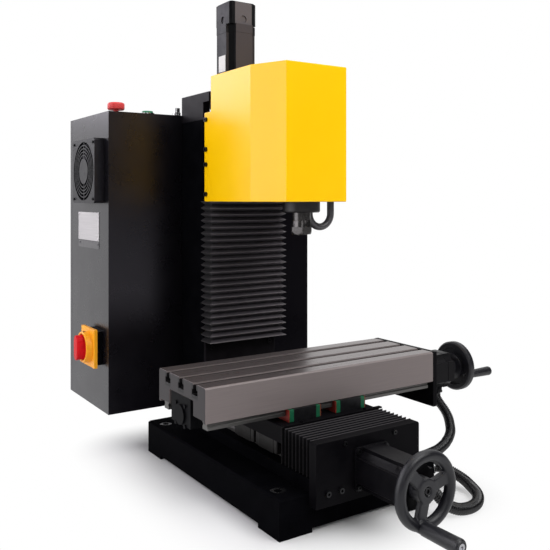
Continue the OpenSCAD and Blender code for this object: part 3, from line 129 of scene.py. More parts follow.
def smooth_path(points, step):
    """Points along a smooth curve through the given points, about one step apart."""
    pts = [Vector(p) for p in points]
    pts = [2 * pts[0] - pts[1]] + pts + [2 * pts[-1] - pts[-2]]
    fine = []
    for i in range(1, len(pts) - 2):
        p0, p1, p2, p3 = pts[i - 1:i + 3]
        for k in range(PATH_STEPS):
            t = k / PATH_STEPS
            fine.append(0.5 * (2 * p1 + (p2 - p0) * t + (2 * p0 - 5 * p1 + 4 * p2 - p3) * t * t
                               + (3 * p1 - p0 - 3 * p2 + p3) * t ** 3))
    fine.append(pts[-2])
    length = sum((b - a).length for a, b in zip(fine, fine[1:]))
    count = max(2, round(length / step))
    out, walked, goal = [fine[0]], 0.0, length / count
    for a, b in zip(fine, fine[1:]):
        seg = (b - a).length
        while walked + seg >= goal * len(out) - 1e-9 and len(out) < count:
            out.append(a.lerp(b, (goal * len(out) - walked) / seg))
        walked += seg
    out.append(fine[-1])
    return out, length


def tube_along(path, radii, sides):
    """Closed tube whose section follows the path without twist."""
    verts, faces = [], []
    side = None
    for i, p in enumerate(path):
        ahead = (path[min(i + 1, len(path) - 1)] - path[max(i - 1, 0)]).normalized()
        if side is None:
            side = ahead.cross(OFF_AXIS).normalized()
        side = (side - ahead * side.dot(ahead)).normalized()
        up = ahead.cross(side)
        for j in range(sides):
            a = 2 * math.pi * j / sides
            verts.append(p + radii[i] * (math.cos(a) * side + math.sin(a) * up))
    for i in range(len(path) - 1):
        for j in range(sides):
            k = (j + 1) % sides
            faces.append((i * sides + j, i * sides + k, (i + 1) * sides + k, (i + 1) * sides + j))
    faces.append(tuple(range(sides - 1, -1, -1)))
    faces.append(tuple(range((len(path) - 1) * sides, len(path) * sides)))
    return verts, faces


def lathe(bm, at, axis, profile, segments=28):
    """Turns a profile of (radius, height) points about an axis through a point."""
    turn = Vector((0, 0, 1)).rotation_difference(Vector(axis)).to_matrix()
    rings = []
    for radius, height in profile:
        count = segments if radius else 1
        angles = [2 * math.pi * k / segments for k in range(count)]
        points = [Vector((radius * math.cos(a), radius * math.sin(a), height)) for a in angles]
        rings.append([bm.verts.new(Vector(at) + turn @ point) for point in points])
    for first, second in zip(rings, rings[1:]):
        for k in range(segments):
            n = (k + 1) % segments
            loop = [first[k % len(first)], first[n % len(first)],
                    second[n % len(second)], second[k % len(second)]]
            face = list(dict.fromkeys(loop))
            if len(face) > 2:
                bm.faces.new(face)


def slab(bm, low, high):
    """Adds a box between two corners."""
    low, high = Vector(low), Vector(high)
    bmesh.ops.create_cube(bm, size=1.0, matrix=Matrix.Translation((low + high) / 2)
                          @ Matrix.Diagonal((*(high - low), 1)))


# Materials

def link(tree, source, out, target, socket):
    tree.links.new(source.outputs[out], target.inputs[socket])


def ranged(tree, low, high, to_low, to_high, smooth=False):
    node = tree.nodes.new("ShaderNodeMapRange")
    node.interpolation_type = "SMOOTHSTEP" if smooth else "LINEAR"
    for socket, value in (("From Min", low), ("From Max", high), ("To Min", to_low), ("To Max", to_high)):
        node.inputs[socket].default_value = value
    return node


COLOUR_SPAN = (0.32, 0.68)
ROUGHNESS_SPAN = (0.3, 0.7)
GRAIN_DETAIL = 5.0
RELIEF_DETAIL = 3.0
RELIEF_STRENGTH = 0.6


def material(name, low, high, rough, metallic=0.0, *, grain, bump, specular=0.5, sheen=0.0, tint=(1, 1, 1)):
    """Principled surface whose colour and roughness vary with one noise and whose bump comes from another."""
    mat = bpy.data.materials.new(name)
    mat.use_nodes = True
    tree = mat.node_tree
    shader = tree.nodes["Principled BSDF"]
    shader.inputs["Metallic"].default_value = metallic
    shader.inputs["Specular IOR Level"].default_value = specular
    shader.inputs["Sheen Weight"].default_value = sheen
    shader.inputs["Specular Tint"].default_value = (*tint, 1)
    coords = tree.nodes.new("ShaderNodeTexCoord")

    def noise(scale, stretch, detail):
        mapping = tree.nodes.new("ShaderNodeMapping")
        mapping.inputs["Scale"].default_value = stretch
        texture = tree.nodes.new("ShaderNodeTexNoise")
        texture.inputs["Scale"].default_value = scale
        texture.inputs["Detail"].default_value = detail
        link(tree, coords, "Object", mapping, "Vector")
        link(tree, mapping, "Vector", texture, "Vector")
        return texture

    varied = noise(*grain, GRAIN_DETAIL)
    ramp = tree.nodes.new("ShaderNodeValToRGB")
    for element, position, colour in zip(ramp.color_ramp.elements, COLOUR_SPAN, (low, high)):
        element.position = position
        element.color = (*colour, 1)
    link(tree, varied, "Fac", ramp, "Fac")
    link(tree, ramp, "Color", shader, "Base Color")
    spread = ranged(tree, *ROUGHNESS_SPAN, *rough)
    link(tree, varied, "Fac", spread, "Value")
    link(tree, spread, "Result", shader, "Roughness")
    scale, stretch, depth = bump
    relief = noise(scale, stretch, RELIEF_DETAIL)
    bumped = tree.nodes.new("ShaderNodeBump")
    bumped.inputs["Strength"].default_value = RELIEF_STRENGTH
    bumped.inputs["Distance"].default_value = depth
    link(tree, relief, "Fac", bumped, "Height")
    link(tree, bumped, "Normal", shader, "Normal")
    return mat


def tinted(mat, factor, out, colour):
    """Mixes another colour over a material's own, by the given factor."""
    tree = mat.node_tree
    socket = tree.nodes["Principled BSDF"].inputs["Base Color"]
    own = socket.links[0].from_socket
    mix = tree.nodes.new("ShaderNodeMix")
    mix.data_type = "RGBA"
    first, second = [i for i in mix.inputs if i.type == "RGBA"]
    second.default_value = (*colour, 1)
    tree.links.new(factor.outputs[out], mix.inputs[0])
    tree.links.new(own, first)
    tree.links.new([o for o in mix.outputs if o.type == "RGBA"][0], socket)
    return mat


def zone(mat, axis, low, high, blur):
    """1 where the surface lies between two places along one axis of its own object, 0 elsewhere."""
    tree = mat.node_tree
    coords = tree.nodes.new("ShaderNodeTexCoord")
    parts = tree.nodes.new("ShaderNodeSeparateXYZ")
    link(tree, coords, "Object", parts, "Vector")
    above = ranged(tree, low - blur, low + blur, 0.0, 1.0)
    below = ranged(tree, high - blur, high + blur, 1.0, 0.0)
    link(tree, parts, axis, above, "Value")
    link(tree, parts, axis, below, "Value")
    return both(tree, above, "Result", below, "Result")


def both(tree, first, first_out, second, second_out, operation="MULTIPLY"):
    """Joins two values by a sum of the given kind."""
    node = tree.nodes.new("ShaderNodeMath")
    node.operation = operation
    link(tree, first, first_out, node, 0)
    link(tree, second, second_out, node, 1)
    return node


def facing(tree, axis):
    """How far a face looks along an axis: the signed normal and its absolute value."""
    face = tree.nodes.new("ShaderNodeNewGeometry")
    parts = tree.nodes.new("ShaderNodeSeparateXYZ")
    link(tree, face, "Normal", parts, "Vector")
    size = tree.nodes.new("ShaderNodeMath")
    size.operation = "ABSOLUTE"
    link(tree, parts, axis, size, 0)
    return parts, size


def pleat_material(name, low, high, edge, specular):
    """Moulded rubber with a painted highlight along its fold edges and painted shade in its valleys and on its
    flanks.
    """
    mat = material(name, low, high, (0.38, 0.5), grain=(140, EVEN), bump=(2600, EVEN, 0.00004),
                   specular=specular, sheen=0.05)
    tree = mat.node_tree
    fold = tree.nodes.new("ShaderNodeAttribute")
    fold.attribute_name = "fold"
    # Masks for the painted highlight on the fold edges and the painted shade in the valleys.
    ridge_highlight = ranged(tree, 0.02, 0.2, 1.0, 0.0)
    valley_shade = ranged(tree, 0.35, 1.0, 0.0, 1.0)
    link(tree, fold, "Fac", ridge_highlight, "Value")
    link(tree, fold, "Fac", valley_shade, "Value")
    tinted(mat, ridge_highlight, "Result", edge)
    tinted(mat, valley_shade, "Result", PAINTED_SHADE_COLOUR)
    # Painted shade on the flanks that face along X.
    _, across = facing(tree, "X")
    flank_shade = ranged(tree, 0.25, 0.45, 0.0, 0.75)
    link(tree, across, "Value", flank_shade, "Value")
    return tinted(mat, flank_shade, "Result", PAINTED_SHADE_COLOUR)


def table_material(name):
    """Ground iron: fine lines along the table, a polished top, darker end faces and painted shade inside the
    slots.
    """
    mat = material(name, (0.180, 0.1525, 0.150), (0.200, 0.169, 0.166), (0.44, 0.52), TABLE_METALLIC,
                   grain=(700, ALONG_X), bump=(1400, ALONG_X, 0.00002), specular=0.3)
    tree = mat.node_tree
    parts, side = facing(tree, "X")
    end = ranged(tree, 0.6, 0.9, 0.0, 0.93)
    link(tree, side, "Value", end, "Value")
    tinted(mat, end, "Result", (0.014, 0.0118, 0.0143))
    ground = ranged(tree, *UPWARD, 0.0, 0.6)
    shine = ranged(tree, *UPWARD, TABLE_METALLIC, 0.6)
    polish = ranged(tree, *UPWARD, 1.0, 0.6)
    for node in (ground, shine, polish):
        link(tree, parts, "Z", node, "Value")
    tinted(mat, ground, "Result", (0.115, 0.096, 0.095))
    shader = tree.nodes["Principled BSDF"]
    link(tree, shine, "Result", shader, "Metallic")
    smoother = tree.nodes.new("ShaderNodeMath")
    smoother.operation = "MULTIPLY"
    tree.links.new(shader.inputs["Roughness"].links[0].from_socket, smoother.inputs[0])
    link(tree, polish, "Result", smoother, 1)
    link(tree, smoother, "Value", shader, "Roughness")
    # Painted shade: the inside of each T-slot is darkened.
    for slot_y in SLOT_CENTRES:
        inside = zone(mat, "Y", slot_y - SLOT_HALF, slot_y + SLOT_HALF, 0.0002)
        sunk = zone(mat, "Z", *SLOT_HEIGHTS, 0.0008)
        tinted(mat, both(tree, inside, "Value", sunk, "Value"), "Value", (0.006, 0.005, 0.006))
    return mat


def guide_material(name, low, high, rough, metallic=0.0):
    """Guide parts: those of the Y axis, low down, are darkened with painted shade."""
    mat = material(name, low, high, rough, metallic, grain=(120, EVEN), bump=(1200, EVEN, 0.00003),
                   specular=0.25)
    # Painted shade over the guide parts below Y_GUIDES_TOP.
    return tinted(mat, zone(mat, "Z", 0.0, Y_GUIDES_TOP, 0.002), "Value", (0.0075, 0.0062, 0.0062))


def cabinet_material(name):
    """Satin powder coat whose gloss is turned down on the front beside the column, as painted shade that keeps
    this front black.
    """
    mat = material(name, (0.0029, 0.0026, 0.0037), (0.0035, 0.0031, 0.0044), (0.26, 0.31),
                   grain=(24, EVEN), bump=(1100, EVEN, 0.00001), specular=CABINET_GLOSS, tint=COOL_TINT)
    tree = mat.node_tree
    parts, _ = facing(tree, "Y")
    front = ranged(tree, *AGAINST_AXIS, 1.0, 0.0)
    link(tree, parts, "Y", front, "Value")
    beside = zone(mat, "X", *BESIDE_COLUMN, 0.03)
    # Painted shade: the front beside the column loses its gloss.
    shaded_front = both(tree, front, "Result", beside, "Value")
    gloss = ranged(tree, 0.0, 1.0, CABINET_GLOSS, SHADE_GLOSS)
    link(tree, shaded_front, "Value", gloss, "Value")
    link(tree, gloss, "Result", tree.nodes["Principled BSDF"], "Specular IOR Level")
    return mat


def upper_motor_material(name):
    """Anodised motor housing with painted light: painted shade in the black corner flutes, a painted highlight on
    the paler front and painted shade with a bluish cast on the left side.
    """
    mat = material(name, (0.011, 0.0100, 0.0115), (0.016, 0.0147, 0.0168), (0.34, 0.46),
                   grain=(50, EVEN), bump=(700, EVEN, 0.00005), specular=0.1)
    tree = mat.node_tree
    parts, _ = facing(tree, "Y")
    front = ranged(tree, *AGAINST_AXIS, 1.0, 0.0)
    link(tree, parts, "Y", front, "Value")
    left = ranged(tree, *AGAINST_AXIS, 0.9, 0.0)
    link(tree, parts, "X", left, "Value")
    # Painted highlight on the front faces.
    tinted(mat, front, "Result", (0.062, 0.054, 0.058))
    brake_low, brake_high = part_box("z_brake")
    brake = zone(mat, "Z", brake_low.z, brake_high.z + 0.01, 0.0005)
    # Stronger painted highlight on the front of the brake.
    tinted(mat, both(tree, front, "Result", brake, "Value"), "Value", (0.11, 0.098, 0.103))
    # Painted shade with a bluish cast on the left faces.
    tinted(mat, left, "Result", (0.004, 0.004, 0.0068))
    middle_y = (brake_low.y + brake_high.y) / 2
    # Painted shade in the corner flutes.
    for flute_x in (-FLUTE_AT, FLUTE_AT):
        for flute_y in (middle_y - FLUTE_AT, middle_y + FLUTE_AT):
            across = zone(mat, "X", flute_x - FLUTE_HALF, flute_x + FLUTE_HALF, 0.0004)
            along = zone(mat, "Y", flute_y - FLUTE_HALF, flute_y + FLUTE_HALF, 0.0004)
            tinted(mat, both(tree, across, "Value", along, "Value"), "Value", (0.0016, 0.0016, 0.0022))
    return mat


# Places on the part, in metres
FLUTE_AT, FLUTE_HALF = 0.0265, 0.0085
SLOT_CENTRES = (-0.102, -0.057, -0.012)
SLOT_HALF = 0.0095
SLOT_HEIGHTS = (0.180, 0.1995)
Y_GUIDES_TOP = 0.112
BESIDE_COLUMN = (0.03, 0.30)

# Parts of a normal: faces that look up, and faces that look against an axis
UPWARD = (0.9, 0.98)
AGAINST_AXIS = (-0.9, -0.6)

# Colour of the painted shade in the bellows' valleys and on their flanks.
PAINTED_SHADE_COLOUR = (0.003, 0.0028, 0.0034)
COOL_TINT = (0.92, 0.87, 1.0)
# Gloss of the cabinet, and the lower gloss that paints shade on its front beside the column.
CABINET_GLOSS, SHADE_GLOSS = 0.42, 0.03
TABLE_METALLIC = 0.25

# Stretch of the noises
EVEN = (1, 1, 1)
ALONG_X = (0.02, 1, 1)
ALONG_Y = (1, 0.02, 1)

MATERIALS = {
    "black_casting": material("black_casting", (0.0016, 0.0016, 0.0022), (0.0028, 0.0028, 0.0036), (0.44, 0.56),
                              grain=(35, EVEN), bump=(420, EVEN, 0.00012), specular=0.004),
    "black_plate": material("black_plate", (0.0028, 0.0026, 0.0034), (0.0046, 0.0042, 0.0052), (0.40, 0.52),
                            grain=(45, EVEN), bump=(900, EVEN, 0.00005), specular=0.03),
    "motor_black": material("motor_black", (0.0034, 0.0031, 0.0041), (0.0054, 0.0050, 0.0062), (0.30, 0.42),
                            grain=(50, EVEN), bump=(700, EVEN, 0.00004), specular=0.08),
    "motor_upper": upper_motor_material("motor_upper"),
    "rail_steel": material("rail_steel", (0.085, 0.082, 0.080), (0.13, 0.126, 0.122), (0.34, 0.46), 0.8,
                           grain=(900, ALONG_X), bump=(1500, ALONG_X, 0.00002)),
    "housing_black": material("housing_black", (0.003, 0.003, 0.0037), (0.0055, 0.0055, 0.0066), (0.40, 0.52),
                              grain=(80, EVEN), bump=(900, EVEN, 0.00004), specular=0.03),
    # The third colour of each bellows is the painted highlight on its fold edges.
    "bellows": pleat_material("bellows", (0.050, 0.044, 0.050), (0.070, 0.062, 0.070),
                              (0.16, 0.146, 0.152), 0.1),
    # A darker copy of the bellows rubber, as painted shade on the Y bellows low on the base.
    "bellows_low": pleat_material("bellows_low", (0.002, 0.0019, 0.0025), (0.0034, 0.0032, 0.004),
                                  (0.06, 0.056, 0.06), 0.02),
    "cabinet_black": cabinet_material("cabinet_black"),
    "zinc_plate": material("zinc_plate", (0.48, 0.48, 0.47), (0.64, 0.64, 0.65), (0.28, 0.44), 1.0,
                           grain=(55, EVEN), bump=(300, EVEN, 0.00004)),
    "drive_case": material("drive_case", (0.030, 0.040, 0.055), (0.045, 0.055, 0.075), (0.4, 0.55),
                           grain=(70, EVEN), bump=(900, EVEN, 0.00005)),
    "fan_plastic": material("fan_plastic", (0.0045, 0.0042, 0.0052), (0.0075, 0.0070, 0.0084), (0.34, 0.46),
                            grain=(90, EVEN), bump=(1200, EVEN, 0.00003), specular=0.25, tint=COOL_TINT),
    "switch_yellow": material("switch_yellow", (0.90, 0.36, 0.010), (0.96, 0.42, 0.016), (0.34, 0.44),
                              grain=(60, EVEN), bump=(900, EVEN, 0.00003), specular=0.25),
    "signal_red": material("signal_red", (0.56, 0.006, 0.010), (0.66, 0.010, 0.016), (0.32, 0.42),
                           grain=(60, EVEN), bump=(900, EVEN, 0.00003), specular=0.08),
    "start_green": material("start_green", (0.035, 0.21, 0.11), (0.05, 0.27, 0.14), (0.22, 0.32),
                            grain=(80, EVEN), bump=(900, EVEN, 0.00002)),
    "bright_metal": material("bright_metal", (0.48, 0.48, 0.49), (0.66, 0.66, 0.67), (0.16, 0.28), 1.0,
                             grain=(400, EVEN), bump=(1600, EVEN, 0.00001)),
    "conduit": material("conduit", (0.0036, 0.0034, 0.0043), (0.0058, 0.0054, 0.0066), (0.18, 0.28),
                        grain=(120, EVEN), bump=(1800, EVEN, 0.00003), specular=0.45),
    "screws": material("screws", (0.007, 0.007, 0.008), (0.013, 0.013, 0.015), (0.28, 0.42), 0.6,
                       grain=(300, EVEN), bump=(1500, EVEN, 0.00002)),
    "saddle_iron": material("saddle_iron", (0.0042, 0.0038, 0.0048), (0.0072, 0.0066, 0.0080), (0.40, 0.54),
                            grain=(600, ALONG_Y), bump=(1200, ALONG_Y, 0.00003), specular=0.03),
    "table_iron": table_material("table_iron"),
    "guide_steel": guide_material("guide_steel", (0.008, 0.008, 0.009), (0.013, 0.013, 0.015), (0.28, 0.42), 0.3),
    "guide_green": guide_material("guide_green", (0.008, 0.085, 0.04), (0.013, 0.125, 0.058), (0.3, 0.42)),
    "guide_red": guide_material("guide_red", (0.17, 0.018, 0.013), (0.23, 0.025, 0.018), (0.4, 0.5)),
    "screw_steel": material("screw_steel", (0.34, 0.34, 0.36), (0.46, 0.46, 0.48), (0.2, 0.32), 1.0,
                            grain=(500, EVEN), bump=(1800, EVEN, 0.00002)),
    "wheel_black": material("wheel_black", (0.0066, 0.0066, 0.0092), (0.0105, 0.0105, 0.0142), (0.34, 0.46),
                            grain=(110, EVEN), bump=(1500, EVEN, 0.00003), specular=0.4),
    "head_yellow": material("head_yellow", (0.985, 0.560, 0.0), (1.0, 0.575, 0.0), (0.20, 0.25),
                            grain=(14, EVEN), bump=(700, EVEN, 0.00001), specular=0.3),
    "head_frame": material("head_frame", (0.016, 0.016, 0.019), (0.026, 0.026, 0.030), (0.34, 0.48),
                           grain=(70, EVEN), bump=(900, EVEN, 0.00005)),
    "spindle_dark": material("spindle_dark", (0.015, 0.0135, 0.0143), (0.023, 0.0207, 0.0215), (0.3, 0.42), 0.4,
                             grain=(500, ALONG_X), bump=(1600, EVEN, 0.00002)),
    "pipe_grey": material("pipe_grey", (0.043, 0.040, 0.045), (0.056, 0.052, 0.058), (0.26, 0.4),
                          grain=(150, EVEN), bump=(1500, EVEN, 0.00003)),
    "spindle_steel": material("spindle_steel", (0.066, 0.062, 0.062), (0.095, 0.090, 0.089), (0.16, 0.24), 0.9,
                              grain=(600, EVEN), bump=(1800, EVEN, 0.00001)),
    "bare_plate": material("bare_plate", (0.46, 0.44, 0.45), (0.54, 0.52, 0.53), (0.36, 0.46), 0.5,
                           grain=(500, ALONG_Y), bump=(1500, ALONG_Y, 0.00001)),
    "column_black": material("column_black", (0.0052, 0.0044, 0.0056), (0.0080, 0.0068, 0.0084), (0.38, 0.5),
                             grain=(40, EVEN), bump=(600, EVEN, 0.00006), specular=0.06),
    "estop_red": material("estop_red", (0.66, 0.055, 0.055), (0.74, 0.075, 0.075), (0.34, 0.44),
                          grain=(60, EVEN), bump=(900, EVEN, 0.00003), specular=0.2),
    "paper_label": material("paper_label", (0.70, 0.69, 0.66), (0.78, 0.77, 0.75), (0.5, 0.62),
                            grain=(90, EVEN), bump=(1500, EVEN, 0.00002)),
}

# Edge rounding of the CAD nodes, in millimetres
ROUNDED = {
    "base_casting": 1.2, "column": 0.8, "column_apron": 0.8, "y_motor_plate": 0.7, "x_end_plate": 0.7,
    "z_motor_mount": 0.8, "z_motor": 0.5, "z_brake": 0.5, "x_motor": 0.5, "y_motor": 0.5,
    "cabinet_shell": 0.9, "cabinet_door": 0.9,
    "saddle": 0.6, "table": 0.9, "head_cover": 1.5, "z_carriage": 0.6, "spindle_mount": 0.6,
    "fan_frame": 0.6, "guide_blocks": 0.5, "guide_caps": 0.5, "collet_nut": 0.3, "power_supply": 0.6,
    "drive_units": 0.6, "estop_button": 0.5, "conduit_glands": 0.4, "x_handwheel": 0.6,
}
SLOT_OF = {part["node"]: part["material_slot"] for part in frame["record"]["subparts"]}
FINISH_OF = {**SLOT_OF, "z_motor": "motor_upper", "z_brake": "motor_upper", "column_apron": "column_black",
             "z_motor_mount": "column_black", "estop_button": "estop_red"}
for node_name, node_object in nodes.items():
    node_object.data.materials.clear()
    node_object.data.materials.append(MATERIALS[FINISH_OF[node_name]])
    if node_name in ROUNDED:
        bevelled(node_object, ROUNDED[node_name] * 0.001)


# Conduits: corrugated tubes on the routes of the CAD solids

CONDUIT_D = 0.018
UPPER_ROUTE = [
    (0.31, -0.066, 0.107), (0.31, -0.066, 0.098), (0.313, -0.072, 0.087), (0.317, -0.081, 0.075),
    (0.317, -0.09, 0.064), (0.311, -0.1, 0.054), (0.302, -0.11, 0.045), (0.286, -0.12, 0.038),
    (0.276, -0.125, 0.036),
]
LOWER_ROUTE = [
    (0.276, -0.125, 0.036), (0.266, -0.13, 0.034), (0.24, -0.14, 0.032), (0.212, -0.147, 0.032),
    (0.19, -0.15, 0.032), (0.178, -0.15, 0.032), (0.166, -0.15, 0.032),
]
FLOOR_ROUTE = [
    (0.166, -0.195, 0.032), (0.177, -0.195, 0.032), (0.189, -0.201, 0.029), (0.198, -0.214, 0.023),
    (0.203, -0.231, 0.0165), (0.201, -0.249, 0.011), (0.192, -0.268, 0.0092), (0.177, -0.284, 0.0092),
    (0.158, -0.296, 0.0092), (0.138, -0.3, 0.0092), (0.119, -0.297, 0.011), (0.104, -0.29, 0.018),
    (0.093, -0.281, 0.031), (0.085, -0.272, 0.047), (0.077, -0.266, 0.062), (0.07, -0.262, 0.074),
    (0.06, -0.26, 0.08), (0.049, -0.26, 0.08),
]
RIB_PITCH = 0.0032
RIB_DEPTH = 0.0014
RINGS_PER_RIB = 6
RIB_ROUNDNESS = 0.6
CONDUIT_SIDES = 28


def conduit(name, route):
    path, length = smooth_path(route, RIB_PITCH / RINGS_PER_RIB)
    radii = []
    for i in range(len(path)):
        wave = 0.5 + 0.5 * math.cos(2 * math.pi * i / RINGS_PER_RIB)
        radii.append(CONDUIT_D / 2 - RIB_DEPTH * (1 - wave ** RIB_ROUNDNESS))
    verts, faces = tube_along(path, radii, CONDUIT_SIDES)
    obj = new_object(name, verts, faces)
    obj.data.materials.append(MATERIALS["conduit"])
    return obj, path, length


floor_tube, floor_path, floor_length = conduit("floor_conduit_tube", FLOOR_ROUTE)
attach(floor_tube, "base")
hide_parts("floor_conduit")

lower_tube, lower_path, lower_length = conduit("lower_conduit_tube", LOWER_ROUTE)
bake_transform(lower_tube)
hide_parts("lower_conduit")

upper_tube, upper_path, upper_length = conduit("upper_conduit_tube", UPPER_ROUTE)
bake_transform(upper_tube)
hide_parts("upper_conduit")


# Bellows: pleated covers, each a thin sheet folded around a U section

STATIONS_PER_FOLD = 12


def pleated(name, outline, folds, depth, length, to_frame, sheet):
    """outline: points and inward directions of the U section; folds run along the local w axis."""
    stations = folds * STATIONS_PER_FOLD
    verts, faces, insets = [], [], []
    for i in range(stations + 1):
        phase = i / STATIONS_PER_FOLD
        wave = abs(2 * (phase - math.floor(phase + 0.5)))
        for point, inward in outline:
            p = point + inward * depth * wave
            verts.append(to_frame(Vector((p.x, p.y, length * i / stations))))
            insets.append(wave)
    n = len(outline)
    for i in range(stations):
        for j in range(n - 1):
            faces.append((i * n + j, i * n + j + 1, (i + 1) * n + j + 1, (i + 1) * n + j))
    obj = new_object(name, verts, faces, smooth=False)
    fold = obj.data.attributes.new("fold", "FLOAT", "POINT")
    fold.data.foreach_set("value", insets)
    thick = obj.modifiers.new("sheet", "SOLIDIFY")
    thick.thickness = sheet
    thick.offset = -1
    return obj


def u_outline(half_w, depth):
    """U section open to +v, with its fold mitred at the corners."""
    return [
        (Vector((-half_w, depth)), Vector((1, 0))), (Vector((-half_w, depth * 0.5)), Vector((1, 0))),
        (Vector((-half_w, 0)), Vector((1, 1))), (Vector((-half_w * 0.5, 0)), Vector((0, 1))),
        (Vector((half_w * 0.5, 0)), Vector((0, 1))), (Vector((half_w, 0)), Vector((-1, 1))),
        (Vector((half_w, depth * 0.5)), Vector((-1, 0))), (Vector((half_w, depth)), Vector((-1, 0))),
    ]


FOLD_DEPTH = 0.0095
SHEET = 0.0009
Z_FOLDS, Y_FOLDS = 22, 8
z_low, z_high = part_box("z_bellows")
z_outline = u_outline((z_high.x - z_low.x) / 2, z_high.y - z_low.y)
z_cover = pleated("z_bellows_folds", z_outline, Z_FOLDS, FOLD_DEPTH, z_high.z - z_low.z,
                  lambda p: Vector((p.x, z_low.y + p.y, z_low.z + p.z)), SHEET)
place(z_cover, "base", MATERIALS["bellows"])
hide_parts("z_bellows")
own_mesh(z_cover)

y_low, y_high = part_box("y_bellows")
y_outline = u_outline((y_high.x - y_low.x) / 2, y_high.z - y_low.z)
y_cover = pleated("y_bellows_folds", y_outline, Y_FOLDS, FOLD_DEPTH, y_high.y - y_low.y,
                  lambda p: Vector((p.x, y_low.y + p.z, y_high.z - p.y)), SHEET)
# The Y bellows takes the darker copy of the rubber, as painted shade.
y_cover.data.materials.append(MATERIALS["bellows_low"])
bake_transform(y_cover)
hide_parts("y_bellows")


# Hand wheel: the spokes of the casting flow into its hub and rim

cast = nodes["y_handwheel"]
skin = cast.modifiers.new("skin", "REMESH")
skin.mode = "VOXEL"
skin.voxel_size = 0.0011
skin.use_smooth_shade = True
flow = cast.modifiers.new("flow", "SMOOTH")
flow.factor = 0.5
flow.iterations = 10


# Small fittings

RIVET = [(0.0024, 0), (0.0021, 0.0007), (0.0012, 0.0011), (0, 0.0012)]
SOCKET_HEAD = [(0.0026, 0), (0.0026, 0.0020), (0.0022, 0.0024), (0.0013, 0.0024), (0.0013, 0.0010), (0, 0.0010)]
SPOT_RING = [(0.0057, 0), (0.0117, 0), (0.0117, 0.0004), (0.0057, 0.0004), (0.0057, 0)]
LEFT, FRONT, RIGHT, UP = (-1, 0, 0), (0, -1, 0), (1, 0, 0), (0, 0, 1)
cab_low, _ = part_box("cabinet_shell")

# Bare plate on the cabinet, with a strip below it
PLATE_Y = (0.274, 0.389)
PLATE_Z = (0.390, 0.444)
PLATE_T = 0.0008
PLATE_RIVETS = ((0.278, 0.440), (0.385, 0.440), (0.279, 0.3935), (0.384, 0.3935))
bm = bmesh.new()
slab(bm, (cab_low.x - PLATE_T, PLATE_Y[0], PLATE_Z[0]), (cab_low.x, PLATE_Y[1], PLATE_Z[1]))
for rivet_y, rivet_z in PLATE_RIVETS:
    lathe(bm, (cab_low.x - PLATE_T, rivet_y, rivet_z), LEFT, RIVET)
plate = bevelled(from_bmesh("cabinet_plate", bm, False), 0.0003)
place(plate, "base", MATERIALS["bare_plate"])

STRIP_Z = (0.3755, 0.3885)
STRIP_T = 0.0006
STRIP_RIVETS = ((0.279, 0.384), (0.381, 0.384))
bm = bmesh.new()
slab(bm, (cab_low.x - STRIP_T, PLATE_Y[0], STRIP_Z[0]), (cab_low.x, PLATE_Y[1], STRIP_Z[1]))
for rivet_y, rivet_z in STRIP_RIVETS:
    lathe(bm, (cab_low.x - STRIP_T, rivet_y, rivet_z), LEFT, RIVET)
strip = bevelled(from_bmesh("cabinet_plate_strip", bm, False), 0.0002)
place(strip, "base", MATERIALS["pipe_grey"])

# Blank label on the Z motor, with two raised bars
LABEL_Y = (0.134, 0.159)
LABEL_Z = (0.707, 0.737)
LABEL_T = 0.0003
BAR_Y = (0.137, 0.156)
BARS_Z = ((0.712, 0.7135), (0.7305, 0.732))
BAR_T = 0.0005
motor_low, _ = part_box("z_motor")
bm = bmesh.new()
slab(bm, (motor_low.x - LABEL_T, LABEL_Y[0], LABEL_Z[0]), (motor_low.x, LABEL_Y[1], LABEL_Z[1]))
for bar_low, bar_high in BARS_Z:
    slab(bm, (motor_low.x - BAR_T, BAR_Y[0], bar_low), (motor_low.x - LABEL_T, BAR_Y[1], bar_high))
label = bevelled(from_bmesh("z_motor_label", bm, False), 0.00008)
place(label, "base", MATERIALS["paper_label"])

# Strip with two screws along the saddle's front edge
SADDLE_STRIP_HALF = 0.096
SADDLE_STRIP_Y = (0.008, 0.0004)
SADDLE_STRIP_Z = (0.0003, 0.0028)
SADDLE_STRIP_SCREWS_X = (-0.062, 0.062)
SADDLE_STRIP_SCREWS_Y = 0.0042
saddle_low, saddle_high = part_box("saddle")
saddle_strip_top = saddle_high.z + SADDLE_STRIP_Z[1]
bm = bmesh.new()
slab(bm, (-SADDLE_STRIP_HALF, saddle_low.y - SADDLE_STRIP_Y[0], saddle_high.z + SADDLE_STRIP_Z[0]),
     (SADDLE_STRIP_HALF, saddle_low.y - SADDLE_STRIP_Y[1], saddle_strip_top))
for screw_x in SADDLE_STRIP_SCREWS_X:
    lathe(bm, (screw_x, saddle_low.y - SADDLE_STRIP_SCREWS_Y, saddle_strip_top), UP, SOCKET_HEAD)
saddle_strip = bevelled(from_bmesh("saddle_strip", bm, False), 0.0003)
place(saddle_strip, "saddle", MATERIALS["black_plate"])

# Bright rings around the hold-down holes
HOLES_X = (-0.128, 0.128)
HOLES_Y = (-0.186, 0.186)
PAD_TOP = 0.0551
bm = bmesh.new()
for hole_x in HOLES_X:
    for hole_y in HOLES_Y:
        lathe(bm, (hole_x, hole_y, PAD_TOP), UP, SPOT_RING, 40)
place(from_bmesh("spot_faces", bm, False), "base", MATERIALS["bright_metal"])


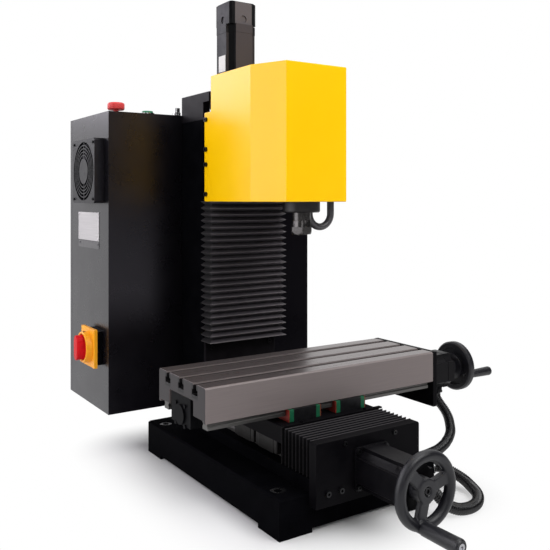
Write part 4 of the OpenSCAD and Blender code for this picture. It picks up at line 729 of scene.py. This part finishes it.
# Main switch: back box with two marks on the collar, yellow front with its collar, red handle.
# Distances out are measured from the cabinet's left side.
SWITCH_Y, SWITCH_Z = 0.290, 0.193
BOX_HALF, FRONT_HALF = 0.031, 0.0355
FRONT_BACK, FRONT_FACE = 0.010, 0.0165
MARK_OUT = (0.0195, 0.0255)
MARK_HALF, MARK_H = 0.0045, 0.0016
MARKS_Z = (SWITCH_Z - 0.0288, SWITCH_Z + 0.0272)
COLLAR = [(0.0295, 0), (0.0285, 0.0108), (0.0275, 0.0120), (0.0252, 0.0120), (0.0246, 0.0112),
          (0.0246, 0.0045), (0, 0.0045)]
DISC = [(0, 0), (0.0236, 0), (0.0236, 0.0035), (0.0226, 0.0045), (0, 0.0045)]
DISC_OUT, HANDLE_OUT = FRONT_FACE + 0.0050, 0.0090
HANDLE_HALF, HANDLE_R = 0.0105, 0.0125
HANDLE_TIP = 0.002
switch_low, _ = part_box("main_switch_knob")


def switch_corner(out, y, z):
    return (cab_low.x - out, SWITCH_Y + y, SWITCH_Z + z)


bm = bmesh.new()
slab(bm, switch_corner(FRONT_BACK, -BOX_HALF, -BOX_HALF), switch_corner(0, BOX_HALF, BOX_HALF))
for mark_z in MARKS_Z:
    slab(bm, (cab_low.x - MARK_OUT[1], SWITCH_Y - MARK_HALF, mark_z),
         (cab_low.x - MARK_OUT[0], SWITCH_Y + MARK_HALF, mark_z + MARK_H))
switch_box = from_bmesh("switch_back_box", bm, False)
place(bevelled(switch_box, 0.0006), "base", MATERIALS["housing_black"])

bm = bmesh.new()
slab(bm, switch_corner(FRONT_FACE, -FRONT_HALF, -FRONT_HALF),
     switch_corner(FRONT_BACK + 0.0001, FRONT_HALF, FRONT_HALF))
lathe(bm, switch_corner(FRONT_FACE, 0, 0), LEFT, COLLAR, 48)
switch_front = from_bmesh("switch_front", bm, False)
place(bevelled(switch_front, 0.0009), "base", MATERIALS["switch_yellow"])
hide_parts("main_switch_plate")

bm = bmesh.new()
lathe(bm, switch_corner(DISC_OUT, 0, 0), LEFT, DISC, 48)
angles = [math.pi * k / 12 for k in range(13)]
outline = [(HANDLE_R * math.cos(a), HANDLE_HALF + HANDLE_R * math.sin(a)) for a in angles]
outline += [(-y, -z) for y, z in outline]
handle_root = cab_low.x - FRONT_FACE - HANDLE_OUT
sections = ((handle_root, 1.0), (switch_low.x + HANDLE_TIP, 0.86), (switch_low.x, 0.66))
rings = [[bm.verts.new((x, SWITCH_Y + y * taper, SWITCH_Z + z)) for y, z in outline] for x, taper in sections]
for first, second in zip(rings, rings[1:]):
    for k in range(len(outline)):
        n = (k + 1) % len(outline)
        bm.faces.new((first[k], first[n], second[n], second[k]))
bm.faces.new(rings[0])
bm.faces.new(rings[-1])
switch_handle = from_bmesh("switch_handle", bm, False)
place(bevelled(switch_handle, 0.0006), "main_switch", MATERIALS["signal_red"])
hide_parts("main_switch_knob")


PIN_R, COUNTERBORE_R = 0.0035, 0.0060
GRIP_EXTRA = 0.0032


def turned_grip(name, node, body, axis, root_r, end_r):
    """Grip turned about its pin, with a flat end and a counterbore for the pin's head."""
    low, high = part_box(node)
    middle = (low + high) / 2
    length = abs((high - low).dot(Vector(axis)))
    start = middle - Vector(axis) * length / 2
    full = length + GRIP_EXTRA
    seat = full - GRIP_EXTRA - 0.0002
    bm = bmesh.new()
    lathe(bm, start, axis, [
        (PIN_R, 0), (root_r - 0.0012, 0), (root_r, 0.0012), (root_r + (end_r - root_r) * 0.5, full * 0.45),
        (end_r, full - 0.004), (end_r - 0.0006, full - 0.0018), (end_r - 0.0022, full), (COUNTERBORE_R, full),
        (COUNTERBORE_R, seat), (PIN_R, seat), (PIN_R, 0)], 40)
    grip = from_bmesh(name, bm, False)
    place(bevelled(grip, 0.0004, 2, 50), body, MATERIALS["wheel_black"])
    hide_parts(node)


turned_grip("y_grip_turned", "y_grip", "y_grip", FRONT, 0.0098, 0.0105)
turned_grip("x_grip_turned", "x_grip", "x_grip", RIGHT, 0.0072, 0.0085)

HUB_FACE = (0, -0.3502, 0.0815)
HUB_SCREW = [(0.0053, 0), (0.0053, 0.0028), (0.0048, 0.0033), (0.0029, 0.0033), (0.0029, 0.0012), (0, 0.0012)]
bm = bmesh.new()
lathe(bm, HUB_FACE, FRONT, HUB_SCREW, 36)
place(from_bmesh("y_hub_screw", bm, False), "y_screw", MATERIALS["screws"])


# Floor, backdrop and light

FLOOR_SIZE = 6.0
FLOOR_COLOUR = (0.74, 0.738, 0.742)
FOOTPRINT_CENTRE = (0.0, 0.02, 0.0)
FOOTPRINT_HALF = (0.14, 0.22, 0.0)
SHADOW_FADE = 0.15
AMBIENT = 0.32
ROOM_IN_FRONT = 0.05
BACKDROP_SIDE = (-0.3, 0.95, 0.1)
BACKDROP_EDGE = (-0.25, 0.35)


def studio_rays(tree):
    """The ray kinds, and a value of 1 for camera and glass rays; mirror rays are added by the caller."""
    rays = tree.nodes.new("ShaderNodeLightPath")
    return rays, both(tree, rays, "Is Camera Ray", rays, "Is Transmission Ray", "MAXIMUM")


def floor_material():
    """Pale floor with the object's shadow on it, which turns plain white away from the object."""
    mat = bpy.data.materials.new("floor_white")
    mat.use_nodes = True
    tree = mat.node_tree
    shader = tree.nodes["Principled BSDF"]
    shader.inputs["Base Color"].default_value = (*FLOOR_COLOUR, 1)
    shader.inputs["Roughness"].default_value = 0.9
    shader.inputs["Specular IOR Level"].default_value = 0.0
    glow = tree.nodes.new("ShaderNodeEmission")
    glow.inputs["Strength"].default_value = 1.0
    coords = tree.nodes.new("ShaderNodeTexCoord")
    last = coords, "Object"
    for operation, value in (("SUBTRACT", FOOTPRINT_CENTRE), ("ABSOLUTE", None), ("SUBTRACT", FOOTPRINT_HALF),
                             ("MAXIMUM", (0, 0, 0)), ("LENGTH", None)):
        away = tree.nodes.new("ShaderNodeVectorMath")
        away.operation = operation
        link(tree, *last, away, 0)
        if value:
            away.inputs[1].default_value = value
        last = away, "Vector"
    far = ranged(tree, 0.0, SHADOW_FADE, 0.0, 1.0, True)
    link(tree, away, "Value", far, "Value")
    rays, seen = studio_rays(tree)
    mirrored = both(tree, seen, "Value", rays, "Is Glossy Ray", "MAXIMUM")
    share = both(tree, far, "Result", mirrored, "Value")
    mixed = tree.nodes.new("ShaderNodeMixShader")
    link(tree, share, "Value", mixed, 0)
    link(tree, shader, "BSDF", mixed, 1)
    link(tree, glow, "Emission", mixed, 2)
    link(tree, mixed, "Shader", tree.nodes["Material Output"], "Surface")
    return mat


floor = new_object("floor", [(-FLOOR_SIZE, -FLOOR_SIZE, 0), (FLOOR_SIZE, -FLOOR_SIZE, 0),
                             (FLOOR_SIZE, FLOOR_SIZE, 0), (-FLOOR_SIZE, FLOOR_SIZE, 0)], [(0, 1, 2, 3)], False)
floor.data.materials.append(floor_material())


def softbox(name, at, aim, size, power, colour=(1, 1, 1)):
    data = bpy.data.lights.new(name, "AREA")
    data.shape = "RECTANGLE"
    data.size, data.size_y = size
    data.energy = power
    data.color = colour
    obj = bpy.data.objects.new(name, data)
    obj.location = at
    obj.rotation_mode = "QUATERNION"
    obj.rotation_quaternion = (Vector(aim) - Vector(at)).to_track_quat("-Z", "Y")
    scene.collection.objects.link(obj)


softbox("key", (0.6, -2.0, 2.3), (0.0, 0.0, 0.4), (1.6, 1.6), 45)
softbox("left", (-2.5, 0.5, 1.3), (0.0, 0.1, 0.45), (2.0, 2.2), 35, (0.97, 0.96, 1.0))
softbox("back_left", (-1.15, 1.85, 1.46), (-0.09, 0.03, 0.65), (1.4, 1.2), 20, (0.94, 0.90, 1.0))
softbox("front", (-0.95, -1.6, 1.05), (0.0, 0.0, 0.5), (0.7, 0.5), 2.5)
softbox("top", (0.9, -0.3, 2.6), (0.0, 0.0, 0.3), (2.4, 2.4), 32)

world = bpy.data.worlds.new("studio")
world.use_nodes = True
scene.world = world
world_tree = world.node_tree
sky = world_tree.nodes["Background"]
sky.inputs["Color"].default_value = (1, 1, 1, 1)
rays, seen = studio_rays(world_tree)
direction = world_tree.nodes.new("ShaderNodeTexCoord")
behind = world_tree.nodes.new("ShaderNodeVectorMath")
behind.operation = "DOT_PRODUCT"
behind.inputs[1].default_value = BACKDROP_SIDE
link(world_tree, direction, "Generated", behind, 0)
backdrop = ranged(world_tree, *BACKDROP_EDGE, ROOM_IN_FRONT, 1.0, True)
link(world_tree, behind, "Value", backdrop, "Value")
mirror = ranged(world_tree, 0.0, 1.0, AMBIENT, 1.0)
link(world_tree, rays, "Is Glossy Ray", mirror, "Value")
link(world_tree, backdrop, "Result", mirror, "To Max")
plain = ranged(world_tree, 0.0, 1.0, AMBIENT, 1.0)
link(world_tree, seen, "Value", plain, "Value")
link(world_tree, mirror, "Result", plain, "To Min")
link(world_tree, plain, "Result", sky, "Strength")
